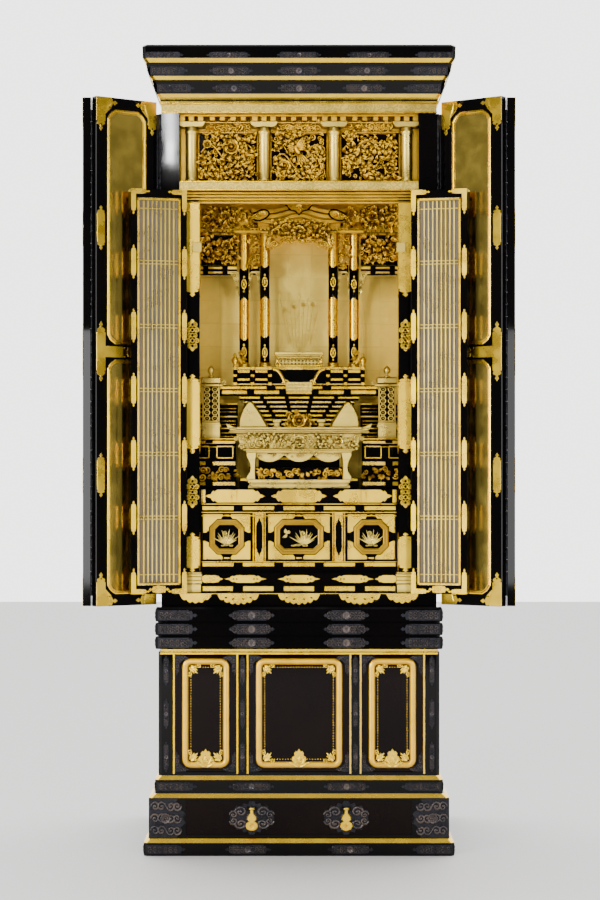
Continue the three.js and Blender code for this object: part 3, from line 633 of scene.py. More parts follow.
def foliage(x, y, z, size, stems, seed, steps=9, depth=0.5):
    """Sweeping stems with leaves set along both sides, turned back where they would leave the carved area."""
    chance = random.Random(seed)
    copies = []
    for number in range(stems):
        px = x[0] + (number + 0.5) / stems * (x[1] - x[0])
        pz = chance.uniform(*z)
        heading = chance.uniform(0, math.tau)
        bend = chance.choice((-1, 1)) * chance.uniform(0.25, 0.6)
        lift = chance.uniform(0, depth) * size
        points = []
        for k in range(steps):
            rise = y - lift - 0.22 * size * math.sin(math.pi * k / steps)
            points.append((px, rise, pz))
            scale = size * (1.1 - 0.6 * k / steps) * chance.uniform(0.85, 1.15)
            turn = spun(heading + (0.75 if k % 2 else -0.75)) @ spun(chance.uniform(0, 0.5), "X")
            copies.append((leaf(), at(px, rise, pz) @ turn @ sized(scale)))
            px += math.sin(heading) * size * 0.5
            pz += math.cos(heading) * size * 0.5
            if not (x[0] < px < x[1] and z[0] < pz < z[1]):
                heading = math.atan2((x[0] + x[1]) / 2 - px, (z[0] + z[1]) / 2 - pz)
                px = min(max(px, x[0]), x[1])
                pz = min(max(pz, z[0]), z[1])
            heading += bend
        copies.append((tube(points, size * 0.09, lambda t: 1.2 - t), HERE))
    return copies


# Shader node groups


def node(tree, kind, sockets=None, **settings):
    """A shader node with its settings. A socket takes a constant, or the output that feeds it."""
    made = tree.nodes.new("ShaderNode" + kind)
    for key, value in settings.items():
        setattr(made, key, value)
    for key, value in (sockets or {}).items():
        if isinstance(value, bpy.types.NodeSocket):
            tree.links.new(value, made.inputs[key])
        else:
            made.inputs[key].default_value = value
    return made.outputs


def calculated(tree, operation, first, second=0.5):
    return node(tree, "Math", {0: first, 1: second}, operation=operation)[0]


def colour_mix(tree, factor, first, second):
    first, second = ((*value, 1.0) if isinstance(value, tuple) else value for value in (first, second))
    return node(tree, "Mix", {0: factor, 6: first, 7: second}, data_type="RGBA")[2]


def object_point(tree):
    return node(tree, "TexCoord")["Object"]


def noise(tree, vector, scale, detail=3.0):
    sockets = {"Vector": vector, "Scale": scale, "Detail": detail, "Roughness": 0.55}
    return node(tree, "TexNoise", sockets)["Fac"]


def ramp(tree, value, low, high):
    sockets = {"Value": value, "From Min": low, "From Max": high}
    return node(tree, "MapRange", sockets, interpolation_type="SMOOTHSTEP")["Result"]


def new_group(name, inputs, outputs):
    """An empty shader group with named number sockets, and the sockets of its two end nodes."""
    group = bpy.data.node_groups.new(name, "ShaderNodeTree")
    for label, value in inputs.items():
        made = group.interface.new_socket(label, in_out="INPUT", socket_type="NodeSocketFloat")
        made.default_value = value
    for label in outputs:
        group.interface.new_socket(label, in_out="OUTPUT", socket_type="NodeSocketFloat")
    return group, group.nodes.new("NodeGroupInput").outputs, group.nodes.new("NodeGroupOutput").inputs


def joined(group, end, **results):
    """The finished group, with its results led to its output sockets."""
    for label, source in results.items():
        group.links.new(source, end[label])
    return group


def mottle_group():
    """Slow, cloudy variation with fine grit on it."""
    group, start, end = new_group("mottle", {"Scale": 20.0, "Grit": 0.3}, ("Factor", "Height"))
    point = object_point(group)
    slow = noise(group, point, start["Scale"])
    fine = noise(group, point, calculated(group, "MULTIPLY", start["Scale"], 14.0), 2.0)
    rough = calculated(group, "ADD", slow, calculated(group, "MULTIPLY", fine, start["Grit"]))
    return joined(group, end, Factor=ramp(group, slow, 0.3, 0.7), Height=rough)


def leaf_square_group():
    """Faint joints of square gold leaf, each square a little lighter or darker."""
    group, start, end = new_group("leaf_squares", {"Scale": 18.0}, ("Shade", "Joint"))
    scaled = node(group, "VectorMath", {0: object_point(group), "Scale": start["Scale"]}, operation="SCALE")
    sockets = {"Vector": scaled[0], "Scale": 1.0, "Randomness": 0.08}
    cells = node(group, "TexVoronoi", sockets, distance="CHEBYCHEV")
    tone = node(group, "SeparateColor", {0: cells["Color"]})
    return joined(group, end, Shade=tone[0], Joint=ramp(group, cells["Distance"], 0.46, 0.5))


def scrollwork_group():
    """Chased lines: rings that curl round scattered centres, as an engraver's scrolls do."""
    group, start, end = new_group("scrollwork", {"Scale": 150.0, "Rings": 26.0}, ("Line", "Height"))
    sockets = {"Vector": object_point(group), "Scale": start["Scale"], "Smoothness": 0.2}
    cells = node(group, "TexVoronoi", sockets, feature="SMOOTH_F1")
    line = calculated(group, "SINE", calculated(group, "MULTIPLY", cells["Distance"], start["Rings"]))
    return joined(group, end, Line=ramp(group, line, -0.2, 0.7), Height=line)


def painted_crevice_shade_group():
    """Painted shade: dark where surfaces stand close together, as in the hollows of carving, found by ambient
    occlusion.
    """
    group, start, end = new_group("painted_crevice_shade", {"Distance": 0.012, "Power": 1.4}, ("Open",))
    shade = node(group, "AmbientOcclusion", {"Distance": start["Distance"]}, samples=6)
    return joined(group, end, Open=calculated(group, "POWER", shade["AO"], start["Power"]))


def grain_group():
    """Long wood grain with soft growth rings."""
    group, start, end = new_group("grain", {"Scale": 14.0}, ("Tone", "Height"))
    along = node(group, "Mapping", {"Vector": object_point(group), "Scale": (0.15, 1.0, 1.0)})[0]
    sockets = {"Vector": along, "Scale": start["Scale"], "Distortion": 5.0, "Detail": 3.0}
    bands = node(group, "TexWave", sockets, bands_direction="Y")
    fibre = noise(group, along, calculated(group, "MULTIPLY", start["Scale"], 16.0))
    return joined(group, end, Tone=bands["Fac"], Height=fibre)


def weave_group():
    """Threads that cross over and under."""
    group, start, end = new_group("weave", {"Pitch": 900.0}, ("Thread", "Height"))
    sockets = {"Vector": object_point(group), "Scale": start["Pitch"]}
    both = calculated(group, "MULTIPLY",
                      *(node(group, "TexWave", sockets, bands_direction=way)["Fac"] for way in "XZ"))
    return joined(group, end, Thread=both, Height=both)


def use(tree, group, **values):
    return node(tree, "Group", values, node_tree=group)


# Materials


def start_material(name, roughness, metallic=0.0):
    material = bpy.data.materials.new(name)
    material.use_nodes = True
    shader = material.node_tree.nodes["Principled BSDF"].inputs
    shader["Roughness"].default_value = roughness
    shader["Metallic"].default_value = metallic
    MATERIALS[name] = material
    return material.node_tree, shader


def finish(tree, shader, base, mask, low, high, height, strength, distance):
    """Leads colour, relief and a roughness that follows a mask to the shader."""
    rough = node(tree, "MapRange", {"Value": mask, "To Min": low, "To Max": high})["Result"]
    relief = node(tree, "Bump", {"Height": height, "Strength": strength, "Distance": distance})["Normal"]
    for label, source in (("Base Color", base), ("Roughness", rough), ("Normal", relief)):
        tree.links.new(source, shader[label])


def scaled_colour(colour, factor):
    return tuple(min(1.0, value * factor) for value in colour)


def lacquer(name, colour, warm, mottle, shine):
    """Polished lacquer with a very slight wave in it."""
    tree, shader = start_material(name, 0.05)
    shader["Specular IOR Level"].default_value = shine
    cloudy = use(tree, mottle, Scale=6.0, Grit=0.02)
    base = colour_mix(tree, cloudy["Factor"], tuple(colour), warm)
    finish(tree, shader, base, cloudy["Factor"], 0.02, 0.06, cloudy["Height"], 0.04, 0.002)


def gold(name, colour, groups, roughness, square=None, chase=None, hollows=None, ripple=0.05):
    """Gold on wood or metal: leaf squares, chased scrolls and painted shade in the hollows, each where it belongs.
    """
    tree, shader = start_material(name, roughness, metallic=1.0)
    cloudy = use(tree, groups["mottle"], Scale=26.0, Grit=0.35)
    base = colour_mix(tree, cloudy["Factor"], scaled_colour(colour, 0.88), scaled_colour(colour, 1.06))
    height, strength = cloudy["Height"], ripple
    if square:
        squares = use(tree, groups["leaf_squares"], Scale=1.0 / square)
        toned = colour_mix(tree, squares["Shade"], scaled_colour(colour, 0.86), scaled_colour(colour, 1.1))
        base = colour_mix(tree, 0.35, base, toned)
        joint = calculated(tree, "MULTIPLY", squares["Joint"], 0.22)
        base = colour_mix(tree, joint, base, scaled_colour(colour, 0.6))
    if chase:
        scale, rings, depth = chase
        lines = use(tree, groups["scrollwork"], Scale=scale, Rings=rings)
        shaded = calculated(tree, "MULTIPLY", calculated(tree, "SUBTRACT", 1.0, lines["Line"]), depth)
        base = colour_mix(tree, shaded, base, scaled_colour(colour, 0.35))
        height, strength = lines["Height"], 0.04
    # Painted shade: where ambient occlusion finds a hollow, the gold is darkened towards the painted crevice shade
    # colour.
    if hollows:
        distance, power, dark = hollows
        clear = use(tree, groups["painted_crevice_shade"], Distance=distance, Power=power)
        base = colour_mix(tree, clear["Open"], dark, base)
    finish(tree, shader, base, cloudy["Factor"], roughness * 0.85, roughness * 1.2, height, strength, 0.0006)


def dark_metal(name, low, high, groups, roughness):
    """Blackened metal with paler chased lines and painted shade in its hollows."""
    tree, shader = start_material(name, roughness, metallic=0.85)
    cloudy = use(tree, groups["mottle"], Scale=40.0, Grit=0.3)
    lines = use(tree, groups["scrollwork"], Scale=150.0, Rings=16.0)
    clear = use(tree, groups["painted_crevice_shade"], Distance=0.006, Power=1.2)
    mask = cloudy["Factor"]
    line = calculated(tree, "MULTIPLY", lines["Line"], 0.35)
    chased = colour_mix(tree, line, colour_mix(tree, mask, low, high), scaled_colour(high, 1.6))
    # Painted shade: hollows found by ambient occlusion darken towards a third of the plate colour.
    base = colour_mix(tree, clear["Open"], scaled_colour(low, 0.3), chased)
    finish(tree, shader, base, mask, roughness * 0.8, roughness * 1.25, lines["Height"], 0.12, 0.0005)


def plain_wood(grain):
    """Planed wood, lighter and darker along its grain."""
    tree, shader = start_material("plain_wood", 0.6)
    lines = use(tree, grain, Scale=16.0)
    base = colour_mix(tree, lines["Tone"], (0.42, 0.26, 0.13), (0.58, 0.40, 0.22))
    finish(tree, shader, base, lines["Height"], 0.5, 0.7, lines["Height"], 0.2, 0.0005)


def gauze(colour, weave):
    """Open cloth, lighter on its threads."""
    tree, shader = start_material("gauze", 0.75)
    threads = use(tree, weave, Pitch=420.0)
    base = colour_mix(tree, threads["Thread"], scaled_colour(colour, 0.7), scaled_colour(colour, 1.25))
    finish(tree, shader, base, threads["Thread"], 0.6, 0.85, threads["Height"], 0.3, 0.0004)


class FINISH_OT_materials(bpy.types.Operator):
    """Make the lacquers, golds, metals and cloth, and finish the joinery with them."""

    bl_idname = "altar.materials"
    bl_label = "Materials"

    def execute(self, context):
        finishes = context.scene.altar_finishes
        square = context.scene.altar_sizes.leaf_square
        makers = (mottle_group, leaf_square_group, scrollwork_group, painted_crevice_shade_group, grain_group, weave_group)
        groups = {group.name: group for group in (make() for make in makers)}
        painted_crevice_shade, dark, copper = tuple(finishes.painted_crevice_shade), tuple(finishes.dark_metal), tuple(finishes.copper)
        pale, bright, deep = finishes.pale_gold, finishes.bright_gold, finishes.deep_gold
        lacquer("black_lacquer", finishes.black, (0.0022, 0.0015, 0.0014), groups["mottle"], 0.13)
        lacquer("brown_lacquer", finishes.brown, (0.0055, 0.0020, 0.0015), groups["mottle"], 0.09)
        gold("gold_field", pale, groups, 0.42, square=square)
        # Painted shade: gold_leaf, deep_gold, olive_gold and carved_gold, and both dark metals, darken in their
        # hollows by ambient occlusion.
        gold("gold_leaf", pale, groups, 0.30, square=square, hollows=(0.010, 1.2, painted_crevice_shade))
        gold("engraved_gold", pale, groups, 0.36, chase=(70.0, 20.0, 0.42))
        gold("gilt_metal", bright, groups, 0.28)
        gold("polished_gold", bright, groups, 0.26)
        gold("deep_gold", deep, groups, 0.34, hollows=(0.012, 1.1, painted_crevice_shade))
        gold("mirror_gold", scaled_colour(pale, 0.72), groups, 0.22, ripple=0.015)
        gold("olive_gold", scaled_colour(deep, 0.55), groups, 0.36, hollows=(0.010, 1.3, painted_crevice_shade))
        gold("carved_gold", deep, groups, 0.34, hollows=(0.009, 1.8, painted_crevice_shade))
        dark_metal("dark_metal", dark, scaled_colour(dark, 1.8), groups, 0.30)
        dark_metal("worn_metal", scaled_colour(dark, 3.2), copper, groups, 0.26)
        plain_wood(groups["grain"])
        gauze(finishes.gauze, groups["weave"])
        chosen = {row["node"]: row["material_slot"] for row in frame["record"]["subparts"]}
        chosen.update(ceiling_board="engraved_gold", transom_beam="engraved_gold")
        chosen.update(gold_back_panel="gold_field")
        for name, obj in frame["nodes"].items():
            for slot in obj.material_slots:
                slot.material = MATERIALS[chosen[name]]
        return {"FINISHED"}


# Roof, cornice and base


def levels(node):
    """The heights of a moulded board, with how far it reaches sideways and forward at each."""
    rows = {}
    for vertex in frame["nodes"][node].data.vertices:
        height = round(vertex.co.z / MM, 1)
        half, front = rows.get(height, (0.0, 0.0))
        rows[height] = (max(half, vertex.co.x / MM), min(front, vertex.co.y / MM))
    return [(height, *rows[height]) for height in sorted(rows)]


def fascia(node, index):
    """Three placements on the face between two heights of a moulded board: front, right and left."""
    low, high = levels(node)[index:index + 2]
    lean = math.atan2(high[1] - low[1], high[0] - low[0])
    middle = (low[0] + high[0]) / 2
    half = (low[1] + high[1]) / 2
    front = (low[2] + high[2]) / 2
    back = extent(node)[1].y
    faces = [(at(0, front, middle), half)]
    for sign in (1, -1):
        place = at(sign * half, (front + back) / 2, middle) @ spun(sign * QUARTER, "Z")
        faces.append((place, (back - front) / 2))
    return [(place @ spun(lean, "X"), width) for place, width in faces], high[0] - low[0]


@functools.lru_cache(None)
def scroll():
    """A small plain tendril of few faces, for relief that is repeated many times."""
    points = []
    for i in range(11):
        t = i / 10
        reach = 0.5 * (1 - t) ** 0.8 + 0.06
        points.append((math.cos(t * 7.6) * reach, -0.12 - 0.2 * t, math.sin(t * 7.6) * reach))
    return tube(points, 0.14, lambda t: 0.6 + 0.5 * t, sides=1)


def scrolls_along(width, height, lift, count):
    """Two rows of scrolls along a narrow fitting, facing each other."""
    copies = []
    for i in range(count):
        x = width * ((i + 0.5) / count - 0.5)
        reach = math.copysign(height * (0.40 if i % 2 else 0.48), -x)
        for flip in (-1, 1):
            place = at(x, -lift * 0.8, -flip * height * 0.19)
            copies.append((scroll(), place @ sized(reach, height * 0.2, height * 0.40 * flip)))
    return copies


def relief_bar(width, height, lift):
    """A blackened fitting for a narrow moulding and the relief on it: a blossom between scrolls."""
    outline = lying(strap_outline(height, width, height * 0.9))
    relief = [(blossom(1), at(0, -lift * 0.5, 0) @ sized(height * 0.40, height * 0.15, height * 0.40))]
    inner = width * 0.32
    for sign in (-1, 1):
        place = at(sign * (inner * 0.5 + height * 0.40), 0, 0)
        relief += placed(scrolls_along(inner, height, lift, 4), place)
    return plate(outline, lift, 0.3), compose(relief)


def corner_bar(width, height, lift):
    """Half a blackened fitting, square where it meets the corner and pointed at its other end."""
    reach = height * 0.9
    end = [(z + width - reach, x) for x, z in end_points(height / 2, reach)]
    outline = [(0, height / 2)] + end + [(0, -height / 2)]
    relief = placed(scrolls_along(width * 0.78, height, lift, 6), at(width * 0.42, 0, 0))
    return plate(outline, lift, 0.3), compose(relief)


def settle_fittings(name, copies, body="root"):
    """Blackened fittings with their worn relief, from pairs of plate and carving."""
    settle(name, [(pair[0], place) for pair, place in copies], "dark_metal", body)
    settle(f"{name}_relief", [(pair[1], place) for pair, place in copies], "worn_metal", body)


def dress_fascia(node, index, fractions, width, lift, shrink=0.82, drop=0.0, sink=0.0):
    """Fittings along the three faces of a moulding: both corners, and places along its half width."""
    faces, height = fascia(node, index)
    centre = relief_bar(width, height * shrink, lift)
    corner = corner_bar(width * 0.85, height * shrink, lift)
    copies = []
    inset = 6
    for number, (face, half) in enumerate(faces):
        place = face @ at(0, sink, -drop)
        spots = fractions if number == 0 else (-0.5, 0.0, 0.5)
        copies += [(centre, place @ at(half * spot, 0, 0)) for spot in spots]
        copies.append((corner, place @ at(-half + inset, 0, 0)))
        copies.append((corner, place @ at(half - inset, 0, 0) @ sized(-1, 1, 1)))
    return copies


def between(low, high):
    """A rule that keeps the sloped faces of a moulding between two heights."""
    return lambda centre, normal: low < centre.z < high and abs(normal.z) < 0.96 and normal.y < 0.5


class ROOF_OT_fittings(bpy.types.Operator):
    """Gild the roof's bevels, and lay blackened relief fittings along its three mouldings."""

    bl_idname = "altar.roof"
    bl_label = "Roof"

    def execute(self, context):
        lift = context.scene.altar_sizes.relief
        gilded, dark = [], []
        tiers = (("low", 0.68, 2.4, 0.0), ("middle", 0.68, 2.4, 0.0), ("top", 0.52, 6.0, 0.5))
        for name, shrink, drop, sink in tiers:
            tier = f"roof_tier_{name}"
            rows = levels(tier)
            gilded.append(skin(tier, between(rows[0][0], rows[1][0])))
            dark += dress_fascia(tier, 1, (-0.45, 0.0, 0.45), 96, lift, shrink, drop, sink)
        settle("roof_gold_bevels", gilded, "polished_gold")
        settle_fittings("roof_fittings", dark)
        low, high = extent("ceiling_board")
        rail = [block((low.x - 2, high.x + 2), (low.y - 4, low.y), (high.z - 8, high.z - 0.5), 1.2)]
        rail.append(block((low.x - 1, high.x + 1), (low.y - 2, low.y), (low.z, low.z + 3), 0.8))
        for sign in (-1, 1):
            x = (low.x - 4, low.x) if sign < 0 else (high.x, high.x + 4)
            rail.append(block(x, (low.y - 4, high.y), (high.z - 8, high.z - 0.5), 1.2))
        settle("frieze_rails", rail, "polished_gold")
        return {"FINISHED"}


class BASE_OT_fittings(bpy.types.Operator):
    """Dress the cornice, step board, drawer case and plinth with gilding and blackened fittings."""

    bl_idname = "altar.base"
    bl_label = "Base mouldings"

    def execute(self, context):
        lift = context.scene.altar_sizes.relief
        dark = []
        for index in (1, 3, 5):
            dark += dress_fascia("base_cornice", index, (-0.33, 0.33), 100, lift)
        settle_fittings("cornice_fittings", dark)
        dark = dress_fascia("step_board", 0, (-0.33, 0.33), 100, lift, 0.62)
        dark += dress_fascia("plinth", 0, (-0.33, 0.33), 100, lift, 0.7)
        settle_fittings("plinth_fittings", dark)
        gilded = []
        for name, first in (("plinth", -2), ("drawer_case", -2), ("step_board", -2), ("base_cornice", 0)):
            rows = levels(name)
            gilded.append(skin(name, between(rows[first][0], rows[first + 1][0])))
        settle("base_gold_bevels", gilded, "polished_gold")
        return {"FINISHED"}


# Cupboard


def ring_forms(half, low, high):
    """A round-edged gilt ring with its sunk inner lip, and the places of the beads inside it."""
    steps = [(0.6, 2.0), (1.6, 1.8), (2.8, 1.1), (3.4, 0.3), (3.2, -0.8), (1.8, -1.8), (0.8, -0.6)]
    frame_part, field = moulded_frame(rounded(half, low, high, 20), steps)
    beads = []
    inset = 20
    outline = rounded(half - inset, low + inset, high - inset, 10)
    pitch = 5.8
    for i, (x0, z0) in enumerate(outline):
        x1, z1 = outline[(i + 1) % len(outline)]
        length = math.hypot(x1 - x0, z1 - z0)
        count = max(1, round(length / pitch))
        beads += [(x0 + (x1 - x0) * k / count, z0 + (z1 - z0) * k / count) for k in range(count)]
    return frame_part, field, beads


def finger_pull():
    """A small gilt leaf at the foot of a panel, to lift it out by."""
    right = [(15, 0), (15, 9), (12, 11), (16, 16), (15, 23), (10, 26), (11, 31), (7, 36), (4, 35)]
    outline = right + [(0, 41)] + [(-x, z) for x, z in reversed(right)]
    base = (plate(outline, 2.2, 0.8), HERE)
    leaves = [(leaf(), at(0, -1.6, 3) @ spun((i - 2) * 0.6) @ sized(15, 9, 24)) for i in range(5)]
    return compose([base] + leaves)


class CUPBOARD_OT_panels(bpy.types.Operator):
    """Lift-out panels with gilt rings, beading and finger pulls, and the gilt lines between them."""

    bl_idname = "altar.cupboard"
    bl_label = "Cupboard panels"

    def execute(self, context):
        lift = context.scene.altar_sizes.relief
        bead = small_bead()
        relief = [(scroll(), at(x, -lift * 0.8, z) @ sized(turn * 9, 3.4, 9))
                  for x, z, turn in ((6, 33, 1), (7, 23, -1), (8, 12, 1), (17, 6, -1), (25, 5, 1))]
        corner = (plate(corner_outline(32, 44, 12, 12, 7), lift, 0.3), compose(relief))
        strap = relief_bar(66, 11, lift)
        dark = []
        for name in ("left", "centre", "right"):
            node = f"cupboard_panel_{name}"
            low, high = extent(node)
            middle = (low.x + high.x) / 2
            face = low.y + 8
            half = (high.x - low.x) / 2 - 17
            rim, field, beads = ring_forms(half, low.z + 8, high.z - 6)
            board = block((low.x, high.x), (face, high.y), (low.z, high.z), 1.0)
            settle(f"{node}_board", [board], "brown_lacquer", replaces=(node,))
            place = at(middle, face + 0.2, 0)
            settle(f"{node}_ring", [(rim, place)], "deep_gold")
            settle(f"{node}_field", [(field, place @ at(0, 0.5, 0))], "brown_lacquer")
            rows = [(bead, place @ at(x, -1.6, z) @ sized(1.75, 2.0, 1.75)) for x, z in beads]
            for sx in (-1, 1):
                for sz, z in ((1, low.z + 27), (-1, high.z - 25)):
                    spot = place @ at(sx * (half - 20), -1.6, z)
                    turn = math.atan2(-sx, sz)
                    rows.append((spray(), spot @ spun(turn) @ sized(13, 6, 21)))
                    rows.append((curl(), spot @ at(-sx * 15, 0, -sz * 3) @ sized(sx * 11, 5, sz * 9)))
                    rows.append((curl(), spot @ at(sx * 3, 0, sz * 15) @ sized(sx * 9, 5, sz * 11)))
            settle(f"{node}_beads", rows, "polished_gold")
            settle(f"{node}_pull", [(finger_pull(), place @ at(0, -1.5, low.z + 10))], "gilt_metal")
            for sx in (-1, 1):
                edge = middle + sx * (high.x - low.x) / 2
                for sz, z in ((1, low.z), (-1, high.z)):
                    dark.append((corner, at(edge, face, z) @ sized(-sx, 1, sz)))
        settle_fittings("cupboard_panel_corners", dark)
        low, high = extent("cupboard_frame")
        lines = []
        straps = []
        faces = [extent(f"cupboard_panel_{name}") for name in ("left", "centre", "right")]
        for panel_low, panel_high in faces:
            for x in (panel_low.x, panel_high.x):
                lines.append(block(about(x, 2.2), (low.y - 1.4, low.y + 1.0), (low.z + 3, high.z - 1), 0.9))
        lines.append(block((low.x + 4, high.x - 4), (low.y - 1.2, low.y), (high.z - 5, high.z - 0.5), 0.6))
        settle("cupboard_gold_lines", lines, "polished_gold")
        stiles = [(faces[0][1].x + faces[1][0].x) / 2, (faces[1][1].x + faces[2][0].x) / 2,
                  (low.x + faces[0][0].x) / 2, (high.x + faces[2][1].x) / 2]
        for x in stiles:
            for z in (low.z + 40, (low.z + high.z) / 2, high.z - 40):
                straps.append((strap, at(x, low.y, z) @ spun(QUARTER)))
        settle_fittings("cupboard_stile_fittings", straps)
        return {"FINISHED"}


class DRAWER_OT_fittings(bpy.types.Operator):
    """Dress the drawer front with blackened scalloped fittings, and shape the gilt drop pulls."""

    bl_idname = "altar.drawer"
    bl_label = "Drawer"

    def execute(self, context):
        lift = context.scene.altar_sizes.relief
        low, high = extent("drawer_front")
        case_low, case_high = extent("drawer_case")
        face = case_low.y
        height = high.z - low.z
        middle = (low.z + high.z) / 2
        lobes = ((0.10, 0.5), (0.16, 0.40), (0.34, 0.44), (0.40, 0.34), (0.62, 0.36), (0.70, 0.24),
                 (0.86, 0.22), (0.88, 0.08))
        right = [(x * 54, z * height) for x, z in lobes]
        upper = right + [(x, -z) for x, z in reversed(right)]
        shield = plate(upper + [(-x, -z) for x, z in upper], lift, 0.4)
        dressing = [(curl(), at(sx * x, -lift * 0.8, sz * z) @ sized(sx * wide_by, 6, sz * tall_by))
                    for x, z, wide_by, tall_by in ((41, 7, 16, 15), (26, 13, 24, 20)) for sx, sz in CORNERS]
        dressing.append((blossom(2), at(0, -lift, 0) @ sized(13, 5, 13)))
        mount = (shield, compose(dressing))
        pulls = [sum(corner.x for corner in extent(f"drawer_pull_{side}")) / 2 for side, _ in SIDES]
        settle_fittings("drawer_mounts", [(mount, at(x, face, middle)) for x in pulls], "drawer")
        reach = 80
        tall = case_high.z - 8.5 - case_low.z
        scallops = ((0, 0), (0.80, 0), (0.74, 0.10), (0.92, 0.18), (0.86, 0.28), (1.0, 0.38), (0.93, 0.5))
        right = [(x * reach, z * tall) for x, z in scallops]
        outline = right + [(x, tall - z) for x, z in reversed(right[:-1])]
        relief = [(curl(), at(12 + 17 * (i % 4), -lift * 0.8, tall * (0.2 + 0.3 * (i // 4))) @
                   sized(17 if i % 2 else -17, 6, 19 if i % 4 < 2 else -19)) for i in range(12)]
        relief.append((blossom(2), at(36, -lift, tall * 0.5) @ sized(12, 5, 12)))
        end = (plate(outline, lift, 0.4), compose(relief))
        copies = [(end, at(sx * case_high.x, face, case_low.z) @ sized(-sx, 1, 1)) for sx in (-1, 1)]
        strap = relief_bar(110, height * 0.5, lift)
        for sx in (-1, 1):
            side_place = at(sx * case_high.x, 0, middle) @ spun(sx * QUARTER, "Z")
            copies += [(strap, side_place @ at(shift, 0, 0)) for shift in (-180, 0, 180)]
        settle_fittings("drawer_case_fittings", copies)
        for side, sign in SIDES:
            node = f"drawer_pull_{side}"
            low, high = extent(node)
            x = (low.x + high.x) / 2
            gourd = [(3, 0), (3.6, -10), (9, -17), (10, -23), (6, -27), (12, -31), (13.5, -38), (10, -44),
                     (3, -47)]
            outline = [(px, pz) for px, pz in gourd] + [(-px, pz) for px, pz in reversed(gourd)]
            body = plate(outline, 3.4, 1.2)
            barrel = turned(((0, -6.5), (2.8, -6.5), (3.0, 0), (2.8, 6.5), (0, 6.5)), 16)
            axis = high.z - 3
            flower = (blossom(2), at(x, low.y - 0.2, axis - 37) @ sized(6, 3, 6))
            settle(f"{node}_drop", [(body, at(x, high.y - 1.4, axis)),
                                    (barrel, at(x, (low.y + high.y) / 2, axis) @ spun(QUARTER)), flower],
                   "gilt_metal", body=f"pull_{side}", replaces=(node,))
        return {"FINISHED"}


# Doors


def opened(kind, side, letter):
    """The turn that takes a leaf from its closed place to its place at rest."""
    joints = {joint["name"]: joint for joint in frame["joints"]}

    def closing(joint):
        point = Vector(joint["pos_m"]) / MM
        angle = math.radians(joint["range_deg"][1])
        return at(*point) @ Matrix.Rotation(angle, 4, Vector(joint["axis"])) @ at(*-point)

    turn = closing(joints[f"{kind}_{side}_hinge"])
    if letter == "b":
        turn = turn @ closing(joints[f"{kind}_{side}_fold"])
    return turn.inverted()


def leaf_faces(kind, side, letter):
    """Placements on a leaf's outer and inner face, from its middle, with its half width and half height."""
    rest = opened(kind, side, letter)
    back = rest.inverted()
    mesh = frame["nodes"][f"{kind}_door_{side}_{letter}"].data
    points = [back @ (vertex.co / MM) for vertex in mesh.vertices]
    low = Vector(tuple(min(point[i] for point in points) for i in range(3)))
    high = Vector(tuple(max(point[i] for point in points) for i in range(3)))
    middle = (low + high) / 2
    half = (high - low) / 2
    outer = rest @ at(middle.x, low.y, middle.z)
    inner = rest @ at(middle.x, high.y, middle.z) @ spun(math.pi, "Z")
    return outer, inner, half


def stile_fittings(half, width, count, tall, lift):
    """Fittings down both stiles of a leaf: L-shaped at the corners, straps between them."""
    corner = plate(corner_outline(width * 2.1, width * 2.9, width, width * 0.9), lift, 0.35)
    strap = plate(strap_outline(width, tall, width * 0.9), lift, 0.35)
    copies = [(corner, at(-sx * half.x, 0, -sz * half.z) @ sized(sx, 1, sz)) for sx, sz in CORNERS]
    for sx in (-1, 1):
        for i in range(count):
            z = half.z * (2 * (i + 1) / (count + 1) - 1)
            copies.append((strap, at(sx * (half.x - width / 2), 0, z)))
    return copies


